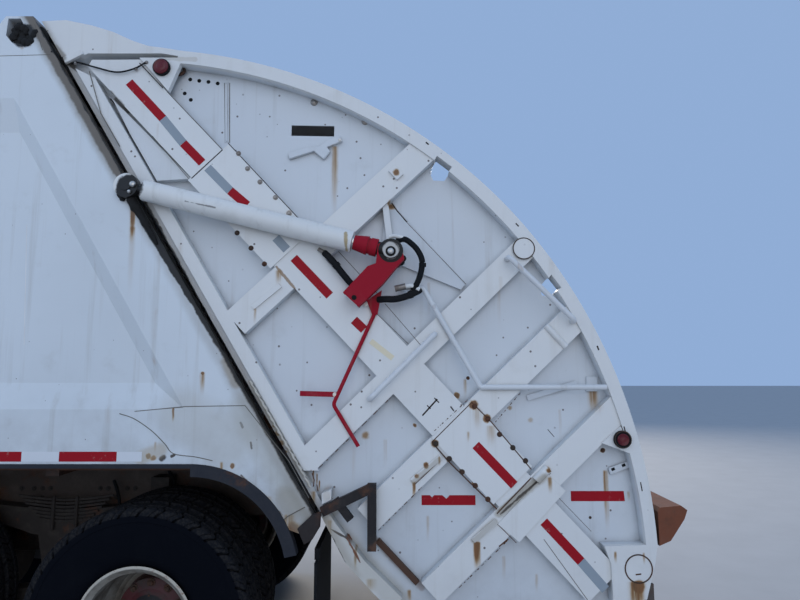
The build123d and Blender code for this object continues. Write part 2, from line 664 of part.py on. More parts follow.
def tailgate_side():
    """Right-hand tailgate side: plate, slide channel, ribs, rim, seam rails, hinge hump and covers."""
    base = PLATE_OUT - 1
    outline = tailgate_outline(SEAM_GAP)
    side = across(outline, PLATE_IN, PLATE_OUT)
    whole = across(outline, PLATE_IN, RIM_OUT)
    side += tailgate_rim() & whole
    bars = None
    for top, low, near, far, reach in RAILS:
        rail = [(seam(top, near), top), (seam(low, near), low), (seam(low, far), low),
                (seam(top - 50, far), top - 50)]
        bar = across(polygon(rail), base, reach)
        bars = bar if bars is None else bars + bar
    for start, end, width in RIBS:
        bars += across(strip(start, end, width), base, RIB_OUT)
    bars += track_box(60, TRACK_LEN, -TRACK_HALF, TRACK_HALF, base, RIB_OUT)
    flange = [(3056, 1006), (3170, 798), (3294, 667), (3380, 590), (3430, 640), (3260, 800), (3130, 960),
              (3098, 1006)]
    bars += across(polygon(flange), base, RIB_OUT)
    wedge = [(1975, 3015), (2400, 2590), (2230, 2580), (2080, 2830), (2000, 2980)]
    bars += across(polygon(wedge), base, RIB_OUT - 20)
    side += bars & whole
    side -= track_box(180, TRACK_LEN - 120, 15 - TRACK_HALF, TRACK_HALF - 15, PLATE_IN - 1, RIB_OUT - 8)
    side += tailgate_raised()
    side += lift_pin_plate()
    for hole in (((3565, 2640), (3600, 2695), (3672, 2640), (3640, 2592), (3585, 2595)),
                 ((4100, 2060), (4140, 2110), (4185, 2050), (4150, 2012), (4110, 2020))):
        side -= across(polygon(hole), PLATE_IN - 1, RIM_OUT + 1)
    side -= across(strip(*GROOVE), RIB_OUT - 6, RIB_OUT + 1)
    return side - across(strip((2875, 2854), (3090, 2850), 55), PLATE_IN - 1, RIM_OUT)


def tailgate_rim():
    """Round rim with the plate at its lower end."""
    base = PLATE_OUT - 1
    rim = across(ring_face(RIM_CENTRE, RIM_R[0], RIM_R[1], 3, 84.9), base, RIM_OUT)
    foot = [(4345, 868), (4585, 875), (4570, 790), (4527, 640), (4465, 588), (4375, 620), (4372, 790)]
    return rim + across(polygon(foot), base, RIM_OUT)


def tailgate_raised():
    """What stands on the ribs: covers, doubler, lamp plates, tube ends, hump and corner block."""
    hump = [(seam(3392, SEAM_GAP + 4), 3392), (1750, 3398), (1880, 3370), (1990, 3335), (2085, 3290),
            (2165, 3262), (2240, 3252), (2335, 3236), (2335, 3205), (2240, 3222), (1870, 3222), (1835, 3204),
            (seam(3204, SEAM_GAP + 4), 3204)]
    raised = across(polygon(hump), PLATE_IN, RIM_OUT)
    for s0, s1, n0, n1 in COVERS:
        raised += track_box(s0, s1, n0, n1, RIB_OUT - 1, RIB_OUT + 6)
    raised += across(polygon(DOUBLER), RIB_OUT - 1, RIB_OUT + 6)
    for plate in (((2125, 3200), (2343, 3200), (2276, 3026)), ((4350, 1325), (4440, 1400), (4500, 1270))):
        raised += across(polygon(plate), RIB_OUT - 20, RIM_OUT)
    for x, z, r in ((4012, 2237, 50), (4495, 770, 60)):
        raised += rod((x, PLATE_IN, z), (x, RIM_OUT, z), r)
    for start, end, width in RIB_BARS:
        raised += across(strip(start, end, width), RIB_OUT - 1, RIB_OUT + 10)
    for start, end, r in RIB_TUBES:
        raised += rod((start[0], RIB_OUT + 2, start[1]), (end[0], RIB_OUT + 2, end[1]), r)
    raised += across(strip((3385, 2597), (3415, 2625), 60), RIB_OUT - 1, RIB_OUT + 14)
    corner = polygon([(3062, 1100), (3106, 1117), (3106, 1072), (3064, 1052)])
    raised += across(corner, PLATE_OUT - 1, RIB_OUT + 12)
    return raised


def lift_pin_plate():
    """Stiffened plate that carries the lift rod's pin."""
    x, z = LIFT_ROD
    plate = polygon([(x - 27, z + 258), (3410, 2431), (3733, 2070), (3716, 2045), (x + 48, z - 47),
                     (x - 37, z - 17), (x - 45, z + 60)])
    carrier = across(plate, PLATE_OUT - 1, PLATE_OUT + 20)
    carrier += across(strip((3348, 2463), (3373, 2262), 30), PLATE_OUT - 1, RIB_OUT - 15)
    boss = rod((x, PLATE_OUT - 1, z), (x, RIM_OUT, z), 62) + rod((x, RIM_OUT - 1, z), (x, 1207, z), 36)
    return carrier + boss


def hopper_trough():
    """Hopper floor: ramp and curved trough as a closed box section, with the rear sill lip."""
    centre = track(PIVOT_DOWN, 0)
    front = 180 + 90 - TRACK_DEG
    tip_in = polar(centre, TROUGH_R[0], front)
    tip_out = polar(centre, TROUGH_R[1], front)
    back_in = polar(centre, TROUGH_R[0], 341)
    heel = polar(centre, TROUGH_R[1], 295)
    lines = Polyline((seam(1070, SEAM_GAP) + 4, 1066), tip_in)
    lines += ThreePointArc(tip_in, polar(centre, TROUGH_R[0], 280), back_in)
    lines += Polyline(back_in, (4595, 1014), (4595, 868), (4584, 862), (4568, 790), (4525, 642),
                      (4463, 590), heel)
    lines += ThreePointArc(heel, polar(centre, TROUGH_R[1], 262), tip_out)
    lines += Polyline(tip_out, (3172, 796), (seam(1010, SEAM_GAP) + 6, 1012),
                      (seam(1070, SEAM_GAP) + 4, 1066))
    return across(make_face(lines), -PLATE_IN, PLATE_IN)


def loading_sill():
    """Lip of the hopper's rear sill, as wide as the tailgate."""
    lip = [(4596, 868), (4648, 890), (4715, 985), (REAR_END, 1025), (4702, 1045), (4606, 1036), (4596, 1018)]
    return across(polygon(lip), -RIM_OUT + 5, RIM_OUT - 5)


def tailgate_cover():
    """Top cross-beam with its hinge lugs, the curved back sheet, and the cross tubes."""
    beam_face = polygon([(seam(3392, SEAM_GAP + 4), 3392), (1750, 3398), (1895, 3360), (2070, 3300),
                         (2195, 3256), (2215, 3165), (seam(3165, SEAM_GAP), 3165)])
    beam = across(beam_face, -PLATE_IN, PLATE_IN)
    sheet = ring_face(RIM_CENTRE, RIM_R[1] - 9, RIM_R[1] - 1, 54, 87.6)
    beam += across(sheet, -PLATE_IN, PLATE_IN)
    for (x, z), r in ((track(95, SLIDE_OFF), 50), ((3535, 2720), 54), ((4012, 2237), 48)):
        beam += rod((x, -PLATE_IN, z), (x, PLATE_IN, z), r)
    web = polygon([track(60, 60), track(150, 80), track(150, 180), track(60, 260), track(-60, 200)])
    beam += across(web, -PLATE_IN, PLATE_IN)
    for side in (-1, 1):
        y0, y1 = sorted((side * LUG_Y[0], side * LUG_Y[1]))
        arm = polygon([(HINGE[0], HINGE[1] + 48), (1650, 3385), (1700, 3360), (1700, 3250),
                       (HINGE[0] + 20, HINGE[1] - 44)])
        lug = across(arm, y0, y1) + rod((HINGE[0], y0, HINGE[1]), (HINGE[0], y1, HINGE[1]), 50)
        beam += lug - rod((HINGE[0], y0 - 1, HINGE[1]), (HINGE[0], y1 + 1, HINGE[1]), HINGE_PIN_R + 0.6)
    return beam


def slide_barrels():
    """Barrels of the two slide cylinders, bored for their rods."""
    barrels = []
    for y in (-SLIDE_Y, SLIDE_Y):
        a, b = track(SLIDE_BARREL[0], SLIDE_OFF), track(SLIDE_BARREL[1], SLIDE_OFF)
        barrel = rod((a[0], y, a[1]), (b[0], y, b[1]), 52)
        c, d = track(SLIDE_ROD[0] - 40, SLIDE_OFF), track(SLIDE_BARREL[1] + 1, SLIDE_OFF)
        barrels.append(barrel - rod((c[0], y, c[1]), (d[0], y, d[1]), 31))
    return barrels


def carriage():
    """Sliding carriage: ribbed panel, shoes in the tracks, ears for the blade, and the slide rods."""
    up = PIVOT_DOWN - SLIDE_TRAVEL
    panel = track_box(up - 1000, up - 100, -55, -35, -1095, 1095)
    for s0, s1 in ((up - 1000, up - 930), (up - 190, up - 100)):
        panel += track_box(s0, s1, -55, 55, -1095, 1095)
    for y in (-1085, -640, -40, 600, 1045):
        panel += track_box(up - 1000, up - 100, -55, 55, y, y + 40)
    for side in (-1, 1):
        y0, y1 = sorted((side * 1080, side * (RIB_OUT - 16)))
        panel += track_box(up - 1000, up - 60, 22 - TRACK_HALF, TRACK_HALF - 22, y0, y1)
        y0, y1 = sorted((side * 1048, side * 1088))
        x, z = track(up, 0)
        panel += track_box(up - 140, up, -60, 60, y0, y1) + rod((x, y0, z), (x, y1, z), 82)
        panel -= rod((x, side * 1000, z), (x, side * 1100, z), 40.6)
        y0, y1 = sorted((side * (SLIDE_Y - 40), side * (SLIDE_Y + 65)))
        panel += track_box(SLIDE_ROD[1] - 60, SLIDE_ROD[1] + 30, 30, SLIDE_OFF + 45, y0, y1)
        a, b = track(SLIDE_ROD[0], SLIDE_OFF), track(SLIDE_ROD[1], SLIDE_OFF)
        panel += rod((a[0], side * SLIDE_Y, a[1]), (b[0], side * SLIDE_Y, b[1]), 30)
        k = track(up + SWEEP_BASE[0], SWEEP_BASE[1])
        for y in (SWEEP_Y - 62, SWEEP_Y + 34):
            y0, y1 = sorted((side * y, side * (y + 28)))
            ear = track_box(up + SWEEP_BASE[0] - 60, up + SWEEP_BASE[0] + 60, 30, SWEEP_BASE[1], y0, y1)
            panel += ear + rod((k[0], y0, k[1]), (k[0], y1, k[1]), 60)
        panel += rod((k[0], side * (SWEEP_Y - 62), k[1]), (k[0], side * (SWEEP_Y + 62), k[1]), 25)
    return panel


def sweep_blade():
    """Curved sweep blade on its pivot tube, with two pairs of arms for the sweep cylinders."""
    up = PIVOT_DOWN - SLIDE_TRAVEL
    face = polygon([track(up + t, n) for t, n in (
        (-55, 20), (-78, -240), (-60, -480), (-12, -690), (30, -695), (60, -560), (80, -250), (60, 20))])
    blade = across(face, -1040, 1040)
    x, z = track(up, 0)
    blade += rod((x, -1040, z), (x, 1040, z), 65)
    blade += rod((x, -1092, z), (x, 1092, z), 40)
    q = polar((x, z), SWEEP_ARM_R, SWEEP_ARM_DEG)
    for side in (-1, 1):
        for y in (SWEEP_Y - 62, SWEEP_Y + 34):
            y0, y1 = sorted((side * y, side * (y + 28)))
            blade += across(strip((x, z), q, 100), y0, y1) + rod((q[0], y0, q[1]), (q[0], y1, q[1]), 50)
            outer = side * (y - 8) if y < SWEEP_Y else side * (y + 36)
            blade += rod((q[0], side * (y + 14), q[1]), (q[0], outer, q[1]), 30)
    return blade


def cylinder_pair(base, tip, y, barrel_len, barrel_r, rod_r, eye_r, eye_half, bore, rod_in, neck):
    """Barrel and rod of one cylinder between two points in the X-Z plane, each with its eye."""
    length = hypot(tip[0] - base[0], tip[1] - base[1])
    ux, uz = (tip[0] - base[0]) / length, (tip[1] - base[1]) / length

    def at(d):
        return (base[0] + ux * d, y, base[1] + uz * d)

    barrel = rod(at(neck), at(barrel_len), barrel_r) + rod(at(eye_r * 0.6), at(neck + 1), eye_half - 1)
    barrel += rod((base[0], y - eye_half, base[1]), (base[0], y + eye_half, base[1]), eye_r)
    barrel -= rod(at(bore), at(barrel_len + 1), rod_r + 1)
    shaft = rod(at(rod_in), at(length - eye_r * 0.6), rod_r)
    shaft += rod((tip[0], y - eye_half, tip[1]), (tip[0], y + eye_half, tip[1]), eye_r)
    return barrel, shaft


def lift_cylinders():
    """Lift cylinders on both sides, with the pin head on the rod's eye and the channel that locks the rod."""
    x, z = LIFT_ROD
    outline = [(3157, 2014), (3229, 1948), (3339, 2054), (3402, 2131), (3440, 2172), (3425, 2235), (3370, 2262),
               (3318, 2240), (3308, 2150), (3271, 2137)]
    slope = atan2(LIFT_ROD[1] - LIFT_BASE[1], LIFT_ROD[0] - LIFT_BASE[0])
    bore = LIFT_ROD_R + 0.5
    # Half section of the collar on the rod: radius, and distance along the cylinder from its base
    section = [(bore, 1113), (34, 1113), (45, 1180), (38, 1180), (38, 1194), (42, 1194), (42, 1226),
               (bore, 1226)]
    collar = revolve(Plane.XZ * polygon(section), Axis.Z, 360)
    barrels, rods, locks = [], [], []
    for side in (-1, 1):
        y = side * LIFT_Y
        barrel, shaft = cylinder_pair(LIFT_BASE, LIFT_ROD, y, LIFT_BARREL_LEN, LIFT_BARREL_R, LIFT_ROD_R,
                                      58, 19, 90, 110, 85)
        bx, bz = LIFT_BASE
        barrel -= rod((bx, side * 1180, bz), (bx, side * 1300, bz), HINGE_PIN_R + 0.5)
        shaft += rod((x, y - side * 29, z), (x, y + side * 48, z), 38)
        barrels.append(barrel)
        rods.append(shaft)
        y0, y1 = sorted((y - side * 24, y + side * 36))
        i0, i1 = sorted((y - side * 30, y + side * 28))
        channel = across(polygon(outline), y0, y1) - across(strip((3335, 2122), (3100, 1894), 80), i0, i1)
        channel -= rod((LIFT_BASE[0], y, LIFT_BASE[1]), (x, y, z), bore)
        channel -= rod((x, side * 1200, z), (x, side * 1300, z), 58.5)
        place = Plane(origin=(LIFT_BASE[0], y, LIFT_BASE[1]), z_dir=(cos(slope), 0, sin(slope)))
        locks.append(channel + place * collar)
    return barrels, rods, locks


def tailgate_fittings():
    """Lamps, grab rails with the drain tube, lock levers and hydraulic lines on the tailgate's sides."""
    y = RIB_OUT
    lamps, rails = [], []
    for x, z, r in ((2242, 3145, 42), (4443, 1342, 40)):
        lamps.append(rod((x, RIM_OUT, z), (x, RIM_OUT + 16, z), r))
    for a, b in (((3282, 1527), (3583, 1826)), ((3932, 2187), (4232, 1887))):
        handle = [(a[0], y, a[1]), (a[0], y + 55, a[1]), (b[0], y + 55, b[1]), (b[0], y, b[1])]
        rails.append(bent_tube(handle, 13, 25))
    drain = [(3432, PLATE_OUT, 2050), (3432, y + 13, 2050), (3532, y + 13, 2040), (3795, y + 13, 1580),
             (4380, y + 13, 1580)]
    rails.append(bent_tube(drain, 12.5, 16))
    lever = bent_tube([(3300, y + 9, 1925), (3110, y + 9, 1500), (3228, y + 9, 1310)], 9, 30)
    lever += across(polygon([(3262, 1985), (3334, 2035), (3314, 1920), (3290, 1915)]), y + 2, y + 14)
    return lamps, rails, lever


def latch_frames():
    """Dark angle-iron frames with a latch arm at the tailgate's lower front corners, and a bar behind each."""
    frames = []
    low, high = (3066, 1021), (3290, 1126)
    frame = across(strip(low, high, 42), RIB_OUT, RIB_OUT + 36)
    frame -= across(strip((3040, 1004), (3272, 1112), 30), RIB_OUT + 5, RIB_OUT + 28)
    frame += across(strip((3292, 1146), (3293, 852), 40), RIB_OUT, RIB_OUT + 36)
    frame += across(strip((3124, 1076), (3196, 986), 34), RIB_OUT, RIB_OUT + 30)
    bar = across(strip((3316, 878), (3500, 690), 25), PLATE_OUT, PLATE_OUT + 25)
    for part in (frame, bar):
        frames += pair(part)
    return frames


def riding_steps():
    """Folding-height riding steps under the rear corners."""
    steps = []
    bracket = polygon([(4400, 440), (4400, 566), (4463, 586), (4526, 636), (4547, 700), (4565, 700),
                       (4565, 455)])
    for side in (-1, 1):
        y0, y1 = sorted((side * 760, side * 1180))
        plate = block(4400, 4690, y0, y1, 430, 455)
        for k in range(6):
            x = 4425 + k * 42
            plate -= block(x, x + 24, y0 + 30, y1 - 30, 420, 460)
        for y in (y0 + 5, y1 - 20):
            plate += across(bracket, y, y + 15)
        steps.append(plate)
    return steps


def build_all():
    """Make every piece of the truck."""
    piece("chassis_frame", chassis_frame())
    piece("front_bumper", front_bumper())
    piece("tow_eyes", *tow_eyes())
    piece("drivetrain", *drivetrain())
    piece("front_axle", front_axle())
    piece("rear_bogie", *rear_bogie())
    piece("fuel_tank", fuel_tank())
    piece("battery_box", battery_box())
    piece("exhaust_stack", exhaust())

    body, screen, rear_pane, doors = cab_parts()
    piece("cab_shell", body)
    piece("cab_windows", screen, rear_pane)
    for name, side in (("left", -1), ("right", 1)):
        leaf, pane = doors[name]
        piece(f"door_{name}", leaf + door_mirror(side))
        piece(f"door_glass_{name}", pane)
    piece("cab_interior", *cab_interior())
    nose, bars, lamps = hood_parts()
    piece("hood", nose)
    piece("grille", bars)
    piece("headlamps", *lamps)

    wall = body_side()
    piece("body_side_right", wall)
    piece("body_side_left", mirrored(wall))
    piece("body_floor", body_floor())
    piece("body_roof", body_roof())
    piece("body_front", body_front())
    piece("ejector_panel", ejector())
    piece("mudflaps", *mudflaps())
    piece("arch_flanges", *arch_flanges())

    side = tailgate_side()
    piece("tailgate_side_right", side)
    piece("tailgate_side_left", mirrored(side))
    piece("hopper_trough", hopper_trough())
    piece("loading_sill", loading_sill())
    piece("tailgate_cover", tailgate_cover())
    piece("slide_barrels", *slide_barrels())
    piece("carriage", carriage())
    piece("sweep_blade", sweep_blade())
    up = PIVOT_DOWN - SLIDE_TRAVEL
    base = track(up + SWEEP_BASE[0], SWEEP_BASE[1])
    tip = polar(track(up, 0), SWEEP_ARM_R, SWEEP_ARM_DEG)
    barrels, rods = [], []
    for y in (-SWEEP_Y, SWEEP_Y):
        barrel, shaft = cylinder_pair(base, tip, y, SWEEP_BARREL_LEN, SWEEP_BARREL_R, SWEEP_ROD_R,
                                      44, 26, 110, 450, 80)
        barrel -= rod((base[0], y - 30, base[1]), (base[0], y + 30, base[1]), 25.5)
        barrels.append(barrel)
        rods.append(shaft)
    piece("sweep_barrels", *barrels)
    piece("sweep_rods", *rods)
    barrels, rods, locks = lift_cylinders()
    piece("lift_barrels", *barrels)
    piece("lift_rods", *rods)
    piece("safety_locks", *locks)
    lamps, rails, lever = tailgate_fittings()
    piece("tailgate_lamps", *[s for lamp in lamps for s in pair(lamp)])
    piece("grab_rails", *[s for rail in rails for s in pair(rail)])
    piece("lock_levers", *pair(lever))
    piece("latch_frames", *latch_frames())
    piece("riding_steps", *riding_steps())

    dual, middle = dual_rim()
    for side, hand in ((-1, "left"), (1, "right")):
        piece(f"knuckle_{hand}", knuckle(side))
        place = Pos(FRONT_AXLE_X, side * FRONT_WHEEL_Y, TYRE_R)
        piece(f"front_tyre_{hand}", place * tyre(0))
        piece(f"front_rim_{hand}", place * front_rim(side))
        for row, x in zip(("mid", "rear"), TANDEM_X):
            spot = Pos(x, 0, TYRE_R)
            piece(f"{row}_tyres_{hand}", *[spot * tyre(side * y) for y in DUAL_Y])
            wheel = dual if side > 0 else mirrored(dual)
            piece(f"{row}_rims_{hand}", Pos(x, side * middle, TYRE_R) * wheel)


build_all()
for name, solids in PIECES.items():
    export_step(Compound(solids), f"parts/{name}.step")
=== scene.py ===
"""Looks of a rear-loading garbage truck: paint, rust, tape, tyres and small fittings."""
import json
import logging
import math
from dataclasses import dataclass, field
from enum import Enum

import bmesh
import bpy
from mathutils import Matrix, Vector


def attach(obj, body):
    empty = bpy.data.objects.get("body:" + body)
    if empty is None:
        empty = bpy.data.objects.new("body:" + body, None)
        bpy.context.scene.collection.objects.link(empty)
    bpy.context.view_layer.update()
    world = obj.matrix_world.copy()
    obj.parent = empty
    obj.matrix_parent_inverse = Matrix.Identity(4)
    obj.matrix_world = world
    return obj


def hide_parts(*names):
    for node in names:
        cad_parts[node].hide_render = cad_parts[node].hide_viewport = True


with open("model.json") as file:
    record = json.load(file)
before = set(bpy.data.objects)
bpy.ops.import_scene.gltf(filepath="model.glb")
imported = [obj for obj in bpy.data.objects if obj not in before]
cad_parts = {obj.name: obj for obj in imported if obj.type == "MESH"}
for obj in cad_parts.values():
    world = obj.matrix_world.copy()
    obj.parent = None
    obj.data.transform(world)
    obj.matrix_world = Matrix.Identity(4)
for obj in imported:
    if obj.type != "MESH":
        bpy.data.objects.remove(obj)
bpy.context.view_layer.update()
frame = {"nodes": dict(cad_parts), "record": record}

LOG = logging.getLogger("garbage_truck")
MM = 0.001
Point = tuple[float, float]
Colour = tuple[float, float, float]
Place = Vector | tuple[float, float, float]
OUTWARD = (0, 1, 0)
BEVEL_ANGLE = 28

# Places on the truck, in millimetres; a face is a distance from the middle
AXLES = {"front_wheel": -3700.0, "mid_wheels": 868.0, "rear_wheels": 2238.0}
AXLE_HEIGHT = 520.0
FRONT_OFFSET = 1055.0
TWIN_OFFSETS = (765.0, 1080.0)
TWIN_MIDDLE = 922.5
RIB_FACE = 1180.0
COVER_FACE = 1186.0
PLATE_FACE = 1115.0
BODY_FACE = 1220.0
LIFT_EYE = (3377.0, 2212.0)
HINGE = (1560, 3300)


# Shader maths

class Channel:
    """A node socket that can be used in Python expressions."""

    def __init__(self, graph: "Graph", socket: bpy.types.NodeSocket) -> None:
        """Wraps a socket of a graph."""
        self.graph = graph
        self.socket = socket

    def _maths(self, operation: str, *values: object) -> "Channel":
        """Adds a maths node over values and channels."""
        return self.graph.node("ShaderNodeMath", {"operation": operation}, dict(enumerate(values)))

    def __add__(self, other: object) -> "Channel":
        """This value plus another."""
        return self._maths("ADD", self, other)

    def __radd__(self, other: object) -> "Channel":
        """Another value plus this one."""
        return self._maths("ADD", other, self)

    def __sub__(self, other: object) -> "Channel":
        """This value less another."""
        return self._maths("SUBTRACT", self, other)

    def __rsub__(self, other: object) -> "Channel":
        """Another value less this one."""
        return self._maths("SUBTRACT", other, self)

    def __mul__(self, other: object) -> "Channel":
        """This value times another."""
        return self._maths("MULTIPLY", self, other)

    def __rmul__(self, other: object) -> "Channel":
        """Another value times this one."""
        return self._maths("MULTIPLY", other, self)

    def __abs__(self) -> "Channel":
        """This value without its sign."""
        return self._maths("ABSOLUTE", self)

    def __pow__(self, other: object) -> "Channel":
        """This value to a power."""
        return self._maths("POWER", self, other)

    def least(self, other: object) -> "Channel":
        """The smaller of this value and another."""
        return self._maths("MINIMUM", self, other)

    def sine(self) -> "Channel":
        """The sine of this value, in radians."""
        return self._maths("SINE", self)

    def ramp(self, low: float, high: float) -> "Channel":
        """A smooth step.

        Args:
            low: The value where the step leaves 0.
            high: The value where it reaches 1; it may be below low.

        Returns:
            A channel from 0 to 1.
        """
        settings = {"interpolation_type": "SMOOTHSTEP", "clamp": True}
        return self.graph.node("ShaderNodeMapRange", settings,
                               {"Value": self, "From Min": low, "From Max": high})


class Graph:
    """One material's node tree."""

    def __init__(self, name: str) -> None:
        """Makes a material with an empty tree.

        Args:
            name: The material's name.
        """
        self.material = bpy.data.materials.new(name)
        self.material.use_nodes = True
        self.tree = self.material.node_tree
        self.tree.nodes.clear()

    def raw(self, kind: str, settings: dict, inputs: dict) -> bpy.types.Node:
        """Adds a node.

        Args:
            kind: The node's type name.
            settings: Attributes to set first.
            inputs: Socket names or numbers, with values or channels.

        Returns:
            The node.
        """
        made = self.tree.nodes.new(kind)
        for key, value in settings.items():
            setattr(made, key, value)
        for key, value in inputs.items():
            if isinstance(value, Channel):
                self.tree.links.new(value.socket, made.inputs[key])
            else:
                made.inputs[key].default_value = value
        return made

    def node(self, kind: str, settings: dict, inputs: dict, output: int | str = 0) -> Channel:
        """Adds a node and returns one of its outputs as a channel."""
        return Channel(self, self.raw(kind, settings, inputs).outputs[output])

    def place(self) -> Channel:
        """The point's place at rest, in metres."""
        return self.node("ShaderNodeTexCoord", {}, {}, "Object")

    def stretched(self, scale: Colour) -> Channel:
        """The point's place, scaled along each axis."""
        return self.node("ShaderNodeVectorMath", {"operation": "MULTIPLY"}, {0: self.place(), 1: scale})

    def axes(self) -> tuple[Channel, Channel, Channel]:
        """The point's X, Y and Z at rest."""
        parts = self.raw("ShaderNodeSeparateXYZ", {}, {0: self.place()})
        return tuple(Channel(self, parts.outputs[i]) for i in range(3))

    def reach(self, x: float, z: float) -> Channel:
        """Distance from a line across the truck, in metres.

        Args:
            x: The line's X, in millimetres.
            z: Its height, in millimetres.

        Returns:
            The distance, as a channel.
        """
        across, _, up = self.axes()
        across, up = across - x * MM, up - z * MM
        return (across * across + up * up) ** 0.5

    def span(self, start: Point, end: Point) -> Channel:
        """Distance from the straight run between two points, in metres.

        Args:
            start: X and Z of one end, in millimetres.
            end: X and Z of the other.

        Returns:
            The distance, as a channel.
        """
        across, _, up = self.axes()
        run = Vector((end[0] - start[0], end[1] - start[1])) * MM
        across, up = across - start[0] * MM, up - start[1] * MM
        share = self.node("ShaderNodeMath", {"operation": "MULTIPLY", "use_clamp": True},
                          {0: across * run.x + up * run.y, 1: 1 / run.length_squared})
        across, up = across - share * run.x, up - share * run.y
        return (across * across + up * up) ** 0.5

    def noise(self, scale: float, detail: float = 3.0, rough: float = 0.55,
              at: Channel | None = None) -> Channel:
        """Fractal noise from 0 to 1 around 0.5."""
        inputs = {"Vector": at or self.place(), "Scale": scale, "Detail": detail, "Roughness": rough}
        return self.node("ShaderNodeTexNoise", {}, inputs)

    def cells(self, scale: float) -> Channel:
        """Distance to the nearest of scattered points."""
        return self.node("ShaderNodeTexVoronoi", {}, {"Vector": self.place(), "Scale": scale})

    def crease(self, reach: float) -> Channel:
        """How shut in a point is, from 0 in the open to 1 in a deep corner.

        Args:
            reach: How far to look, in metres.

        Returns:
            The share, as a channel.
        """
        open_air = self.node("ShaderNodeAmbientOcclusion", {"samples": 8}, {"Distance": reach}, "AO")
        return 1 - open_air

    def mix(self, amount: object, low: object, high: object) -> Channel:
        """Blends two colours.

        Args:
            amount: How much of the second, 0 to 1.
            low: The first colour, or a channel.
            high: The second.

        Returns:
            The blend, as a channel.
        """
        low = low if isinstance(low, Channel) else (*low, 1)
        high = high if isinstance(high, Channel) else (*high, 1)
        return self.node("ShaderNodeMix", {"data_type": "RGBA"}, {0: amount, 6: low, 7: high}, 2)

    def bump(self, height: Channel, strength: float, depth: float) -> Channel:
        """A normal from a height."""
        return self.node("ShaderNodeBump", {}, {"Height": height, "Strength": strength, "Distance": depth},
                         "Normal")

    def surface(self, **inputs: object) -> bpy.types.Material:
        """Ends the tree in a Principled surface.

        Args:
            **inputs: Socket names with spaces as underscores.

        Returns:
            The finished material.
        """
        named = {key.replace("_", " "): value for key, value in inputs.items()}
        for key in ("Base Color", "Emission Color"):
            if key in named and not isinstance(named[key], Channel):
                named[key] = (*named[key], 1)
        shader = self.node("ShaderNodeBsdfPrincipled", {}, named)
        self.raw("ShaderNodeOutputMaterial", {}, {"Surface": shader})
        return self.material


# Finishes

RUST = (0.19, 0.062, 0.02)
RUST_DARK = (0.055, 0.022, 0.012)
RUST_RUN = (0.42, 0.25, 0.085)
CREASE_DIRT_AND_SHADE = (0.17, 0.14, 0.11)
# Colour of the grime in corners, which also stands for their painted shade
GREASE = (0.009, 0.008, 0.007)

# The seam's upper end in millimetres, and how far back it runs for each unit down
SEAM_AT = (1610.0, 3390.0)
SEAM_SLOPE = 0.6004

# Distances from the middle, in metres, over which the paint changes at a side's two faces: painted shade
# behind the sunk plate and painted light on the ribs
PLATE_BACK = (1.112, 1.104)
RIB_FRONT = (1.150, 1.172)


@dataclass(frozen=True)
class Streak:
    """Rust that has run down from a joint. Lengths are in millimetres.

    Attributes:
        x: Its middle.
        top: The height it starts from.
        length: How far down it fades out.
        width: How wide it is.
        strength: How brown it is, 0 to 1.
    """

    x: float
    top: float
    length: float
    width: float = 26.0
    strength: float = 0.7


@dataclass(frozen=True)
class Blot:
    """A round stain. Lengths are in millimetres.

    Attributes:
        x: Its middle's X.
        z: Its middle's height.
        radius: Its radius.
        strength: How dark it is.
    """

    x: float
    z: float
    radius: float
    strength: float = 0.7


@dataclass(frozen=True)
class Smear:
    """Dirt or rust along a straight joint. Lengths are in millimetres.

    Attributes:
        start: One end's X and Z.
        end: The other end's.
        width: Its width.
        strength: How much of the paint it hides, 0 to 1.
        colour: Its colour.
    """

    start: Point
    end: Point
    width: float
    strength: float
    colour: Colour = (0.36, 0.27, 0.15)


@dataclass(frozen=True)
class Finish:
    """A surface finish that is made once and shared.

    Attributes:
        name: Its name.
    """

    name: str

    def build(self, graph: Graph) -> bpy.types.Material:
        """Fills the node tree.

        Args:
            graph: The empty node tree.

        Returns:
            The finished material.
        """
        raise NotImplementedError

    def material(self) -> bpy.types.Material:
        """The finish's material, made on first use."""
        label = f"look_{self.name}"
        return bpy.data.materials.get(label) or self.build(Graph(label))


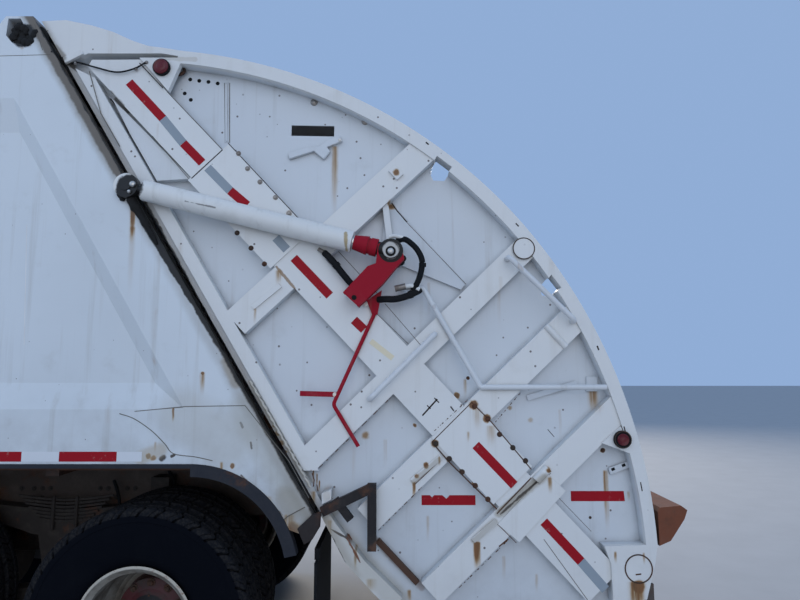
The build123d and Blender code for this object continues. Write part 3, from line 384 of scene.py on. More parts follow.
@dataclass(frozen=True)
class WeatheredPaint(Finish):
    """Sheet-metal paint with rust at its edges, run-down streaks, and grime and painted shade in its corners.

    Attributes:
        colour: The paint itself.
        rust: How much of it has rusted, 0 to 1.
        grime_and_crease_shade: How dirty its corners are, and how much painted shade darkens them, 0 to 1.
        roughness: The clean paint's roughness.
        dark_below_height: Height below which the paint turns darker towards the bottom, in metres.
        chips: How many round chips it has, 0 to 1.
        shine: How much of the sky it mirrors, 0 to 1.
    """

    colour: Colour
    rust: float = 0.4
    grime_and_crease_shade: float = 0.6
    roughness: float = 0.42
    dark_below_height: float = 1.3
    chips: float = 0.35
    shine: float = 0.5

    def build(self, graph: Graph) -> bpy.types.Material:
        """Layers dirt, stains and rust on the paint, with painted shade in its corners.

        Args:
            graph: The empty node tree.

        Returns:
            The finished material.
        """
        broad = graph.noise(0.9, 4, 0.6)
        fine = graph.noise(38, 3, 0.6)
        middle = graph.noise(6.5, 5, 0.62)
        runs = graph.noise(1.0, 4, 0.6, graph.stretched((17, 17, 0.75)))
        spots = graph.noise(11, 2, 0.5)
        corner = graph.crease(0.05)
        tight = graph.crease(0.014)
        height = graph.axes()[2]
        faded = tuple(c * 0.86 for c in self.colour)
        base = graph.mix(broad.ramp(0.35, 0.7) * 0.5, self.colour, faded)
        base = graph.mix(runs.ramp(0.54, 0.74) * 0.3 * self.grime_and_crease_shade, base, (0.36, 0.32, 0.25))
        base = graph.mix(middle.ramp(0.56, 0.8) * 0.3 * self.grime_and_crease_shade, base, (0.42, 0.4, 0.35))
        # Dirt in the corners, masked by ambient occlusion: it also darkens them as painted shade
        crease_dirt_and_shade = corner.ramp(0.14, 0.62) * middle.ramp(0.15, 0.6) * self.grime_and_crease_shade
        base = graph.mix(crease_dirt_and_shade * 0.55, base, CREASE_DIRT_AND_SHADE)
        # Darker and browner towards the bottom, in patches
        low = height.ramp(self.dark_below_height, self.dark_below_height - 0.9) * middle.ramp(0.25, 0.7)
        base = graph.mix(low * 0.5 * self.grime_and_crease_shade, base, (0.2, 0.165, 0.125))
        stain = runs.ramp(0.6, 0.8) * spots.ramp(0.52, 0.66) * self.rust
        base = graph.mix(stain * 0.75, base, (0.42, 0.2, 0.07))
        eaten = tight.ramp(0.3, 0.75) * middle.ramp(0.5 - 0.12 * self.rust, 0.62)
        chip = spots.ramp(0.745 - 0.05 * self.rust, 0.77 - 0.05 * self.rust)
        rusty = graph.mix(fine, RUST_DARK, RUST)
        base = graph.mix(eaten * 0.85 * self.rust + eaten * 0.1, base, rusty)
        base = graph.mix(chip * self.rust * self.chips, base, rusty)
        base = self.local(graph, base)
        rough = self.roughness + 0.25 * (crease_dirt_and_shade + stain * 0.5)
        relief = graph.noise(2.2, 2, 0.5) * 0.6 + fine * 0.03
        normal = graph.bump(relief, 0.35, 0.012)
        return graph.surface(Base_Color=base, Roughness=rough, Specular_IOR_Level=self.shine, Normal=normal)

    def local(self, graph: Graph, base: Channel) -> Channel:
        """Adds what is found at one place only; the plain paint has nothing."""
        return base


@dataclass(frozen=True)
class StainedPaint(WeatheredPaint):
    """Weathered paint with its own streaks, blots, grease and dirty seam, and painted light and shade on the
    ribs and sunk panels.

    Attributes:
        streaks: Rust runs.
        blots: Round rust stains.
        grease: Black patches.
        smears: Dirt along joints.
        seam: -1 in front of the sloping seam, 1 behind it, 0 away from it.
        specks: Size of the fine dark specks, as a share of their spacing.
        sunk: How strongly the ribs are painted lighter and warmer as if lit, and the sunk panels cooler and
            darker as if in shade, 0 to 1.
    """

    streaks: tuple[Streak, ...] = ()
    blots: tuple[Blot, ...] = ()
    grease: tuple[Blot, ...] = ()
    smears: tuple[Smear, ...] = ()
    seam: int = 0
    specks: float = 0.05
    sunk: float = 0.0

    def local(self, graph: Graph, base: Channel) -> Channel:
        """Adds the stains that belong to one place, and painted light and shade on the ribs and sunk panels.

        Args:
            graph: The node tree.
            base: The paint's colour so far.

        Returns:
            The colour with the stains.
        """
        across, along, up = graph.axes()
        ragged = graph.noise(16, 4, 0.65) - 0.5
        if self.sunk:
            # Faces set in behind the sunk plate: painted shade mixed with brown dirt, in patches
            inner = abs(along).ramp(*PLATE_BACK) * graph.noise(3.2, 5, 0.65).ramp(0.3, 0.6)
            base = graph.mix(inner * 0.7, base, (0.25, 0.20, 0.15))
            # Painted light: ribs lighter and warmer. Painted shade: sunk panels cooler and darker
            rib = abs(along).ramp(*RIB_FRONT)
            base = graph.mix(rib * self.sunk, base, (0.90, 0.87, 0.80))
            base = graph.mix((1 - rib) * self.sunk * 0.6, base, (0.60, 0.66, 0.71))
        gate = graph.noise(2.6, 3, 0.6)
        speck = graph.cells(14).ramp(self.specks, self.specks * 0.6) * gate.ramp(0.42, 0.5)
        base = graph.mix(speck * 0.85, base, RUST_DARK)
        if self.streaks or self.blots:
            fibre = graph.noise(1.0, 4, 0.65, graph.stretched((75, 75, 2.2))).ramp(0.25, 0.62)
            run = ragged * 0.0
            for mark in self.streaks:
                half = mark.width * MM / 2
                band = abs(across + ragged * 0.008 - mark.x * MM).ramp(half * 1.5, half * 0.2)
                foot = (mark.top - mark.length) * MM
                fall = up.ramp(foot, foot + mark.length * 0.85 * MM)
                fall = fall * up.ramp(mark.top * MM + 0.012, mark.top * MM - 0.003)
                run = run + band * fall * mark.strength
            run = run * (fibre * 0.6 + 0.4)
            for mark in self.blots:
                away = graph.reach(mark.x, mark.z) + ragged * 0.03
                spread = away.ramp(mark.radius * MM * 1.3, mark.radius * MM * 0.3)
                run = run + spread * mark.strength
            base = graph.mix(run.ramp(0.0, 0.9), base, RUST_RUN)
            base = graph.mix(run.ramp(0.45, 1.0) * 0.8, base, graph.mix(fibre, RUST_DARK, RUST))
        for mark in self.smears:
            near = graph.span(mark.start, mark.end) + ragged * 0.02
            half = mark.width * MM / 2
            base = graph.mix(near.ramp(half * 1.25, half * 0.45) * mark.strength, base, mark.colour)
        if self.seam:
            base = self.seam_dirt(graph, base, across, up, ragged)
        for mark in self.grease:
            away = graph.reach(mark.x, mark.z) + ragged * 0.04
            patch = away.ramp(mark.radius * MM, mark.radius * MM * 0.82)
            base = graph.mix(patch * mark.strength, base, GREASE)
        return base

    def seam_dirt(self, graph: Graph, base: Channel, across: Channel, up: Channel,
                  ragged: Channel) -> Channel:
        """Adds the brown band and the black line beside the sloping seam.

        Args:
            graph: The node tree.
            base: The paint's colour so far.
            across: The point's X.
            up: The point's height; the line is thick below the lift cylinder's pin.
            ragged: Noise around 0 that frays the edges.

        Returns:
            The colour with the dirt.
        """
        slope = math.hypot(1, SEAM_SLOPE)
        behind = across + up * SEAM_SLOPE - (SEAM_AT[0] + SEAM_AT[1] * SEAM_SLOPE) * MM
        off = behind * (self.seam / slope) + ragged * 0.024
        high = up.ramp(2.50, 2.62)
        thick = up.ramp(1.72, 2.35) - high
        if self.seam > 0:
            base = graph.mix(off.ramp(0.05, 0.015) * 0.35, base, (0.30, 0.23, 0.14))
            return graph.mix((off - thick * 0.012).ramp(0.010, 0.004) * 0.9, base, GREASE)
        base = graph.mix(off.ramp(0.075, 0.03) * (0.35 + high * 0.3), base, (0.27, 0.235, 0.18))
        base = graph.mix((off + 0.012 - high * 0.022).ramp(0.034, 0.02) * 0.85, base, (0.13, 0.10, 0.07))
        return graph.mix((off - thick * 0.026 + high * 0.009).ramp(0.016, 0.008), base, GREASE)


@dataclass(frozen=True)
class WheelPaint(Finish):
    """A dirty white disc wheel with a red hub and a dark centre.

    Attributes:
        axle: The wheel's X, in millimetres.
    """

    axle: float = 0.0

    def build(self, graph: Graph) -> bpy.types.Material:
        """Paints the dish, the rusty lip and the hub, and painted shade in its corners.

        Args:
            graph: The empty node tree.

        Returns:
            The finished material.
        """
        radius = graph.reach(self.axle, AXLE_HEIGHT)
        patch = graph.noise(9, 5, 0.65)
        fine = graph.noise(48, 4, 0.65)
        dish = graph.mix(patch.ramp(0.35, 0.7), (0.34, 0.31, 0.26), (0.13, 0.105, 0.08))
        lip = graph.mix(fine.ramp(0.5, 0.7) * 0.8, (0.52, 0.47, 0.38), RUST)
        base = graph.mix(radius.ramp(0.254, 0.259), dish, lip)
        hub = graph.mix(patch.ramp(0.4, 0.66), (0.085, 0.016, 0.017), (0.05, 0.036, 0.03))
        base = graph.mix((radius + patch * 0.01).ramp(0.172, 0.166), base, hub)
        base = graph.mix((radius + patch * 0.01).ramp(0.098, 0.09), base, (0.008, 0.007, 0.007))
        # Painted shade in the wheel's corners and creases
        base = graph.mix(graph.crease(0.05).ramp(0.2, 0.85) * 0.85, base, (0.035, 0.026, 0.02))
        return graph.surface(Base_Color=base, Roughness=0.45 + 0.35 * patch,
                             Normal=graph.bump(fine, 0.3, 0.002))


@dataclass(frozen=True)
class RodMetal(Finish):
    """A chromed rod with a dirty white eye, black with grease round its pin.

    Attributes:
        eye: The eye's X and Z, in millimetres.
        shank: How far from its middle the chrome starts, in millimetres.
    """

    eye: Point = (0.0, 0.0)
    shank: float = 75.0

    def build(self, graph: Graph) -> bpy.types.Material:
        """Paints the eye and leaves the rod bright.

        Args:
            graph: The empty node tree.

        Returns:
            The finished material.
        """
        radius = graph.reach(*self.eye)
        patch = graph.noise(16, 5, 0.65)
        chrome = radius.ramp(self.shank * MM, self.shank * MM + 0.006)
        ring = graph.mix((radius + patch * 0.03).ramp(0.058, 0.046), GREASE, (0.58, 0.55, 0.50))
        ring = graph.mix(patch.ramp(0.58, 0.7) * 0.6, ring, (0.10, 0.07, 0.05))
        base = graph.mix(chrome, ring, (0.62, 0.6, 0.57))
        return graph.surface(Base_Color=base, Roughness=0.6 - 0.42 * chrome, Metallic=chrome,
                             Normal=graph.bump(patch, 0.2, 0.002))


@dataclass(frozen=True)
class RustySteel(Finish):
    """Bare or thinly painted steel under rust and dust.

    Attributes:
        colour: What is left of the paint or scale.
        rust: How much rust covers it, 0 to 1.
        dust: How much pale road dust lies on it, 0 to 1.
        metallic: How much of it is bare metal, 0 to 1.
        bar: Ends of a bar that is brown all over, X and Z in millimetres.
    """

    colour: Colour
    rust: float = 0.6
    dust: float = 0.4
    metallic: float = 0.2
    bar: tuple[Point, Point] | None = None

    def build(self, graph: Graph) -> bpy.types.Material:
        """Lays rust and dust over the steel, and painted shade in its creases.

        Args:
            graph: The empty node tree.

        Returns:
            The finished material.
        """
        patch = graph.noise(5.5, 6, 0.65)
        fine = graph.noise(60, 4, 0.65)
        rusty = graph.mix(fine.ramp(0.3, 0.7), RUST_DARK, (0.14, 0.055, 0.025))
        base = graph.mix(patch.ramp(0.62 - 0.3 * self.rust, 0.75 - 0.15 * self.rust), self.colour, rusty)
        base = graph.mix(graph.noise(9, 5, 0.7).ramp(0.45, 0.8) * self.dust * 0.6, base, (0.2, 0.165, 0.13))
        if self.bar:
            base = graph.mix(graph.span(*self.bar).ramp(0.05, 0.04), base,
                             graph.mix(patch, (0.075, 0.034, 0.02), (0.12, 0.06, 0.035)))
        # Painted shade in the creases
        base = graph.mix(graph.crease(0.06).ramp(0.3, 1.0) * 0.6, base, (0.03, 0.024, 0.02))
        normal = graph.bump(fine * 0.5 + patch * 0.5, 0.45, 0.004)
        return graph.surface(Base_Color=base, Roughness=0.62 + 0.25 * fine, Metallic=self.metallic,
                             Normal=normal)


@dataclass(frozen=True)
class WornMetal(Finish):
    """Bright metal with scratches and a greasy film.

    Attributes:
        colour: The clean metal's colour.
        roughness: The clean metal's roughness.
        film: How much brown film lies on it, 0 to 1.
    """

    colour: Colour
    roughness: float = 0.2
    film: float = 0.3

    def build(self, graph: Graph) -> bpy.types.Material:
        """Scratches the metal along its length and films it.

        Args:
            graph: The empty node tree.

        Returns:
            The finished material.
        """
        lines = graph.noise(1.0, 3, 0.6, graph.stretched((8, 160, 160)))
        patch = graph.noise(12, 5, 0.65)
        film = patch.ramp(0.45, 0.75) * self.film
        base = graph.mix(film, self.colour, (0.16, 0.1, 0.06))
        rough = self.roughness + 0.12 * lines + 0.4 * film
        return graph.surface(Base_Color=base, Roughness=rough, Metallic=1 - film * 0.8,
                             Normal=graph.bump(lines, 0.1, 0.001))


@dataclass(frozen=True)
class Rubber(Finish):
    """Black rubber with road dust.

    Attributes:
        dust: How much dust lies on it, 0 to 1.
        colour: The clean rubber.
        shine: How much of the sky it mirrors, 0 to 1.
    """

    dust: float = 0.4
    colour: Colour = (0.018, 0.018, 0.019)
    shine: float = 0.4

    def build(self, graph: Graph) -> bpy.types.Material:
        """Dusts the rubber in patches.

        Args:
            graph: The empty node tree.

        Returns:
            The finished material.
        """
        patch = graph.noise(7, 6, 0.65)
        fine = graph.noise(90, 3, 0.6)
        base = graph.mix(patch.ramp(0.4, 0.8) * self.dust, self.colour, (0.13, 0.11, 0.09))
        base = graph.mix(fine.ramp(0.55, 0.8) * self.dust * 0.5, base, (0.09, 0.08, 0.07))
        return graph.surface(Base_Color=base, Roughness=0.72 + 0.2 * patch, Specular_IOR_Level=self.shine,
                             Normal=graph.bump(fine, 0.3, 0.0015))


@dataclass(frozen=True)
class TyreRubber(Finish):
    """A dark sidewall, painted darker and bluer than rubber as shade, with a dustier tread.

    Attributes:
        axles: The wheels' X, in millimetres.
        tread: Radius where the tread blocks start, in millimetres.
    """

    axles: tuple[float, ...] = ()
    tread: float = 484.0

    def build(self, graph: Graph) -> bpy.types.Material:
        """Tells the sidewall from the tread, and paints shade in the grooves.

        Args:
            graph: The empty node tree.

        Returns:
            The finished material.
        """
        radius = graph.reach(self.axles[0], AXLE_HEIGHT)
        for axle in self.axles[1:]:
            radius = radius.least(graph.reach(axle, AXLE_HEIGHT))
        patch = graph.noise(7, 6, 0.65)
        fine = graph.noise(90, 3, 0.6)
        # The sidewall's near-black blue tint is painted shade, tinted like the sky light, over the rubber
        side = graph.mix(patch.ramp(0.4, 0.8) * 0.35, (0.0018, 0.0026, 0.0055), (0.008, 0.009, 0.012))
        tread = graph.mix(fine.ramp(0.35, 0.7), (0.008, 0.009, 0.012), (0.026, 0.024, 0.023))
        base = graph.mix(radius.ramp(self.tread * MM - 0.003, self.tread * MM + 0.003), side, tread)
        # Painted shade in the tread's grooves and corners
        base = graph.mix(graph.crease(0.02).ramp(0.25, 0.8) * 0.9, base, (0.001, 0.001, 0.0012))
        return graph.surface(Base_Color=base, Roughness=0.75 + 0.2 * patch, Specular_IOR_Level=0.09,
                             Normal=graph.bump(fine, 0.3, 0.0015))


@dataclass(frozen=True)
class Cabin(Finish):
    """Moulded dashboard plastic in front and woven seat cloth behind.

    Attributes:
        split: The X between the two, in millimetres.
    """

    split: float = -2600.0

    def build(self, graph: Graph) -> bpy.types.Material:
        """Splits the cab's plastic from its cloth.

        Args:
            graph: The empty node tree.

        Returns:
            The finished material.
        """
        across, along, up = graph.axes()
        cloth = across.ramp(self.split * MM, self.split * MM + 0.002)
        weave = ((across + up) * 1500).sine() * ((along + up * 0.5) * 1500).sine()
        patch = graph.noise(8, 4, 0.6)
        seat = graph.mix(weave * 0.25 + 0.3, (0.06, 0.065, 0.075), (0.025, 0.027, 0.032))
        base = graph.mix(cloth, graph.mix(patch, (0.10, 0.10, 0.105), (0.07, 0.07, 0.075)), seat)
        return graph.surface(Base_Color=base, Roughness=0.6 + 0.3 * cloth,
                             Normal=graph.bump(graph.cells(420), 0.3, 0.001))


@dataclass(frozen=True)
class Plastic(Finish):
    """Moulded plastic, grained or glossy.

    Attributes:
        colour: Its colour.
        roughness: Its roughness.
        grain: Strength of the moulded grain.
        glow: Strength of its own light.
    """

    colour: Colour
    roughness: float = 0.4
    grain: float = 0.2
    glow: float = 0.0

    def build(self, graph: Graph) -> bpy.types.Material:
        """Grains the plastic and dulls it in patches.

        Args:
            graph: The empty node tree.

        Returns:
            The finished material.
        """
        fine = graph.cells(420)
        patch = graph.noise(5, 4, 0.6)
        darker = tuple(c * 0.72 for c in self.colour)
        base = graph.mix(patch.ramp(0.35, 0.75) * 0.6, self.colour, darker)
        rough = self.roughness + 0.15 * patch
        return graph.surface(Base_Color=base, Roughness=rough, Normal=graph.bump(fine, self.grain, 0.001),
                             Emission_Color=self.colour, Emission_Strength=self.glow)


@dataclass(frozen=True)
class Glass(Finish):
    """Window or lamp glass with a thin film of dust.

    Attributes:
        tint: The glass's colour.
        weight: How clear it is, 0 to 1.
    """

    tint: Colour
    weight: float = 0.85

    def build(self, graph: Graph) -> bpy.types.Material:
        """Films the glass with dust.

        Args:
            graph: The empty node tree.

        Returns:
            The finished material.
        """
        patch = graph.noise(6, 5, 0.65)
        base = graph.mix(patch.ramp(0.5, 0.85) * 0.2, self.tint, (0.4, 0.38, 0.34))
        rough = 0.03 + 0.12 * patch.ramp(0.5, 0.9)
        return graph.surface(Base_Color=base, Roughness=rough, Transmission_Weight=self.weight, IOR=1.45)


@dataclass(frozen=True)
class ReflectiveTape(Finish):
    """Prismatic tape with a fine diamond pattern and scuffs.

    Attributes:
        colour: The tape's colour.
    """

    colour: Colour

    def build(self, graph: Graph) -> bpy.types.Material:
        """Draws the prisms and scuffs them.

        Args:
            graph: The empty node tree.

        Returns:
            The finished material.
        """
        across, _, up = graph.axes()
        prism = ((across + up) * 900).sine() * ((across - up) * 900).sine()
        scuff = graph.noise(26, 5, 0.7)
        darker = tuple(c * 0.7 for c in self.colour)
        base = graph.mix(prism * 0.25 + 0.3, self.colour, darker)
        base = graph.mix(scuff.ramp(0.6, 0.75) * 0.5, base, (0.5, 0.45, 0.4))
        return graph.surface(Base_Color=base, Roughness=0.35 + 0.3 * scuff, Specular_IOR_Level=0.2,
                             Normal=graph.bump(prism, 0.08, 0.0005))


# Stains of the sides; the classes say what their numbers are
TAN = (0.40, 0.31, 0.17)
DARK = (0.05, 0.035, 0.025)
TAILGATE_STREAKS = tuple(Streak(*row) for row in (
    (3094, 2768, 460, 36, 0.7), (4386, 1186, 330, 24, 1.0), (2733, 1945, 95, 14, 0.7),
    (3769, 880, 150, 32, 1.4), (3484, 1146, 100, 16, 1.1), (3779, 1478, 130, 46, 0.5),
    (3840, 1400, 130, 46, 0.55), (3731, 1612, 120, 18, 0.8), (4480, 712, 190, 70, 1.1),
    (4341, 1556, 130, 52, 0.75), (3012, 1196, 70, 8, 1.6), (3030, 1170, 80, 7, 1.5), (3042, 1140, 60, 8, 1.4),
    (3020, 1100, 90, 26, 0.7), (3100, 975, 110, 22, 0.7), (3218, 850, 110, 14, 1.3), (3290, 720, 80, 50, 0.6),
    (2230, 2860, 160, 14, 0.25), (2880, 2395, 90, 14, 0.4), (3600, 1260, 50, 14, 0.9),
    (4107, 1168, 90, 24, 0.8), (3735, 1372, 60, 14, 0.6), (3462, 650, 70, 20, 0.9), (2842, 2130, 90, 34, 0.7),
    (4490, 1090, 60, 14, 0.6), (3560, 2080, 260, 18, 0.3), (3900, 2100, 320, 22, 0.28),
    (3650, 2950, 420, 30, 0.22), (4180, 1470, 200, 16, 0.35), (3350, 1330, 200, 20, 0.35),
    (3550, 980, 160, 16, 0.4), (3900, 800, 140, 18, 0.4), (4050, 720, 110, 16, 0.4),
    (3200, 1300, 240, 30, 0.3), (4392, 840, 60, 14, 0.8), (4520, 835, 60, 12, 0.7)))
TAILGATE_BLOTS = tuple(Blot(*row) for row in (
    (3255, 1352, 22, 0.7), (3490, 1398, 9, 1.0), (3580, 1322, 18, 1.4), (3646, 1250, 15, 1.2),
    (3708, 1190, 11, 0.9), (3766, 1130, 11, 0.9), (3762, 1498, 22, 1.6), (3824, 1436, 20, 1.6),
    (4377, 1283, 10, 1.3), (4495, 700, 30, 0.8), (2818, 2488, 13, 0.6), (2885, 2409, 15, 0.8),
    (3400, 2610, 18, 0.9), (4100, 1205, 15, 1.0), (2850, 1368, 12, 1.3), (2868, 1321, 13, 1.2),
    (2889, 1282, 11, 1.2), (2830, 1400, 8, 1.0), (3400, 505, 14, 1.0), (3377, 2461, 20, 0.9),
    (3086, 1093, 34, 0.3), (4040, 1424, 16, 0.5), (3944, 1478, 12, 0.6), (3690, 1540, 14, 0.9),
    (3495, 1176, 12, 1.1), (3540, 1225, 14, 1.1)))
TAILGATE_SMEARS = tuple(Smear(*row) for row in (
    ((3872, 1010), (4075, 1172), 46, 0.62, (0.36, 0.30, 0.2)), ((3880, 1006), (4050, 1150), 12, 0.9, DARK),
    ((3756, 894), (3850, 975), 34, 0.45, (0.34, 0.28, 0.19)),
    ((3480, 1150), (3601, 1254), 26, 0.45, (0.34, 0.28, 0.19)),
    ((3090, 940), (3420, 610), 110, 0.45, (0.46, 0.41, 0.31)), ((3102, 942), (3181, 899), 7, 0.9, DARK),
    ((3181, 899), (3240, 795), 9, 0.95, RUST), ((2829, 2149), (2919, 2045), 12, 0.8, (0.28, 0.15, 0.05)),
    ((2710, 1600), (3000, 1140), 26, 0.35, TAN), ((1640, 3330), (1760, 3190), 34, 0.6, (0.12, 0.09, 0.06)),
    ((1986, 3021), (2050, 2955), 26, 0.75, (0.10, 0.075, 0.05)), ((2405, 3190), (2260, 3195), 24, 0.3, TAN),
    ((3300, 880), (3520, 665), 36, 0.5, (0.22, 0.11, 0.06)), ((3180, 1060), (3050, 960), 60, 0.35, TAN)))
BODY_STREAKS = tuple(Streak(*row) for row in (
    (2147, 2440, 200, 26, 1.5), (2152, 2330, 420, 34, 0.35), (2380, 1482, 75, 11, 1.2),
    (2508, 1645, 130, 26, 0.75), (2305, 1330, 60, 12, 0.5), (2610, 1240, 90, 16, 0.7),
    (2700, 1180, 110, 40, 0.4), (2820, 1090, 110, 60, 0.4), (2920, 1010, 90, 60, 0.8),
    (-300, 1310, 70, 40, 0.6), (900, 1300, 60, 30, 0.6), (-1430, 2200, 400, 40, 0.4)))
BODY_BLOTS = tuple(Blot(*row) for row in (
    (2147, 2440, 16, 1.3), (2276, 1270, 13, 1.5), (2296, 1262, 14, 1.0), (2658, 1226, 15, 1.4),
    (2508, 1645, 9, 0.9), (2381, 1482, 5, 1.5), (1560, 3236, 12, 0.4), (2945, 950, 34, 0.9),
    (2995, 900, 20, 0.8)))
BODY_SMEARS = tuple(Smear(*row) for row in (
    ((2336, 1258), (2346, 1266), 22, 0.95, DARK), ((2382, 1270), (2392, 1274), 12, 0.95, DARK),
    ((2240, 1262), (2330, 1300), 70, 0.5, (0.50, 0.40, 0.26)),
    ((2700, 1186), (2890, 1012), 12, 0.8, RUST_DARK),
    ((2905, 1080), (3020, 930), 130, 0.55, (0.30, 0.25, 0.18)),
    ((2720, 1480), (2960, 1100), 190, 0.38, (0.40, 0.36, 0.27)), ((2740, 1330), (2744, 1306), 8, 0.8, DARK),
    ((2690, 1420), (2700, 1400), 8, 0.6, DARK), ((2615, 1700), (2665, 1600), 60, 0.6, (0.33, 0.24, 0.13)),
    ((2420, 1460), (2640, 1330), 260, 0.28, (0.45, 0.40, 0.30))))

WHITE = WeatheredPaint("white_paint", (0.76, 0.77, 0.77), rust=0.55, grime_and_crease_shade=0.7)
# sunk paints light on the ribs and shade on the sunk panels of the tailgate's sides
WHITE_SIDE = StainedPaint("white_side_paint", (0.76, 0.77, 0.77), rust=0.5, grime_and_crease_shade=0.85, dark_below_height=1.1,
                          chips=0.0, streaks=TAILGATE_STREAKS, blots=TAILGATE_BLOTS, smears=TAILGATE_SMEARS,
                          seam=1, specks=0.09, sunk=0.45)
# The body's white is bluer than the tailgate's: painted sky light on the same paint
WHITE_BODY = StainedPaint("white_body_paint", (0.76, 0.80, 0.82), rust=0.35, grime_and_crease_shade=0.8, dark_below_height=1.75,
                          chips=0.0, streaks=BODY_STREAKS, blots=BODY_BLOTS, smears=BODY_SMEARS,
                          grease=(Blot(*HINGE, 68, 1.0),), seam=-1, specks=0.04)
WHITE_ROOF = StainedPaint("white_roof_paint", (0.74, 0.75, 0.74), rust=0.4, grime_and_crease_shade=0.8, chips=0.0,
                          grease=(Blot(*HINGE, 125, 1.0),))
WHITE_BARREL = StainedPaint("white_barrel_paint", (0.84, 0.83, 0.79), rust=0.35, grime_and_crease_shade=0.7, chips=0.0,
                            grease=(Blot(2148, 2516, 74, 1.0),),
                            smears=(Smear((3168, 2290), (3172, 2180), 16, 0.85, (0.42, 0.30, 0.12)),
                                    Smear((2420, 2440), (2560, 2410), 10, 0.7, DARK)))
LIFT_ROD = RodMetal("lift_rod_metal", LIFT_EYE)
WHITE_CAB = WeatheredPaint("white_cab_paint", (0.81, 0.81, 0.80), rust=0.08, grime_and_crease_shade=0.35, roughness=0.3)
RIM_FRONT = WheelPaint("front_rim_paint", AXLES["front_wheel"])
RIM_MID = WheelPaint("mid_rim_paint", AXLES["mid_wheels"])
RIM_REAR = WheelPaint("rear_rim_paint", AXLES["rear_wheels"])
RED_PAINT = StainedPaint("red_paint", (0.37, 0.011, 0.026), rust=0.45, grime_and_crease_shade=0.4, roughness=0.6, chips=0.0,
                         specks=0.06, shine=0.12)
BROWN_STEEL = RustySteel("hopper_steel", (0.15, 0.075, 0.04), rust=0.8, dust=0.5, metallic=0.35)
SILL_STEEL = RustySteel("sill_steel", (0.19, 0.055, 0.022), rust=0.55, dust=0.2, metallic=0.0)
FRAME_STEEL = RustySteel("frame_steel", (0.075, 0.056, 0.045), rust=0.45, dust=0.5)
BLACK_STEEL = RustySteel("black_steel", (0.02, 0.016, 0.016), rust=0.12, dust=0.2,
                         bar=((3339, 862), (3505, 692)))
# Darker than rust alone makes it: painted shade under the load body, with rust
FLOOR_STEEL = RustySteel("floor_steel", (0.035, 0.025, 0.02), rust=0.75, dust=0.15)
LATCH_STEEL = RustySteel("latch_steel", (0.03, 0.022, 0.02), rust=0.35, dust=0.35)
# Its blue tint stands for the sky's sheen on the black flange: a painted reflection
ARCH_STEEL = RustySteel("arch_steel", (0.022, 0.024, 0.032), rust=0.08, dust=0.12)
CAST_IRON = RustySteel("cast_iron", (0.04, 0.032, 0.027), rust=0.15, dust=0.4)
STEP_STEEL = RustySteel("step_steel", (0.12, 0.1, 0.09), rust=0.5, dust=0.6, metallic=0.5)
RUSTY_BOLT = RustySteel("rusty_bolt", (0.05, 0.035, 0.025), rust=0.9, dust=0.1)
BUMPER = WornMetal("bumper_steel", (0.55, 0.55, 0.54), 0.3, 0.25)
CHROME = WornMetal("chrome_rod", (0.62, 0.6, 0.57), 0.12, 0.25)
ALLOY = WornMetal("tank_alloy", (0.6, 0.6, 0.6), 0.32, 0.3)
BOLT = WornMetal("bolt_steel", (0.33, 0.3, 0.27), 0.4, 0.7)
NIPPLE = WornMetal("pin_steel", (0.62, 0.6, 0.56), 0.3, 0.35)
TYRE = TyreRubber("tyre_rubber", tuple(AXLES.values()))
HOSE = Rubber("hose_rubber", 0.08, (0.006, 0.007, 0.009), 0.25)
SEAL = Rubber("seam_seal", 0.1, (0.006, 0.006, 0.005), 0.25)
SEAM = Rubber("seam_rubber", 1.0, (0.05, 0.041, 0.031), 0.2)
GUNK = Rubber("seam_grease", 0.03, (0.004, 0.0035, 0.003), 0.5)
LAMP_RED = Plastic("red_lens", (0.13, 0.003, 0.009), 0.25, 0.05, 0.0)
LAMP_AMBER = Plastic("amber_lens", (0.8, 0.25, 0.02), 0.14, 0.05, 0.02)
LAMP_WHITE = Glass("headlamp_lens", (0.85, 0.87, 0.88), 0.4)
DARK_TRIM = Plastic("dark_trim", (0.035, 0.035, 0.037), 0.5, 0.25)
DASH = Cabin("cabin_trim")
WINDOW = Glass("window_glass", (0.45, 0.5, 0.5))
MIRROR = WornMetal("mirror_glass", (0.75, 0.77, 0.78), 0.04, 0.02)
TAPE_RED = ReflectiveTape("red_tape", (0.42, 0.004, 0.014))
TAPE_WHITE = ReflectiveTape("white_tape", (0.84, 0.86, 0.88))
TAPE_GREY = ReflectiveTape("grey_tape", (0.36, 0.41, 0.45))
LABEL = ReflectiveTape("blank_label", (0.95, 0.84, 0.60))
HOLE_SHADE = Plastic("hole_shade", (0.006, 0.006, 0.006), 0.9, 0.1)
SCUFF_AND_GAP_SHADE = Plastic("scuff_and_gap_shade", (0.03, 0.02, 0.016), 0.9, 0.3)
EDGE = Plastic("edge_shadow", (0.17, 0.155, 0.13), 0.9, 0.3)
RUST_LINE = RustySteel("rust_line", (0.09, 0.04, 0.02), rust=0.8, dust=0.1)
CAULK = WeatheredPaint("caulk", (0.62, 0.57, 0.48), rust=0.8, grime_and_crease_shade=1.0)
PALE = Plastic("pale_scratch", (0.86, 0.86, 0.85), 0.6, 0.1)


# Mesh code

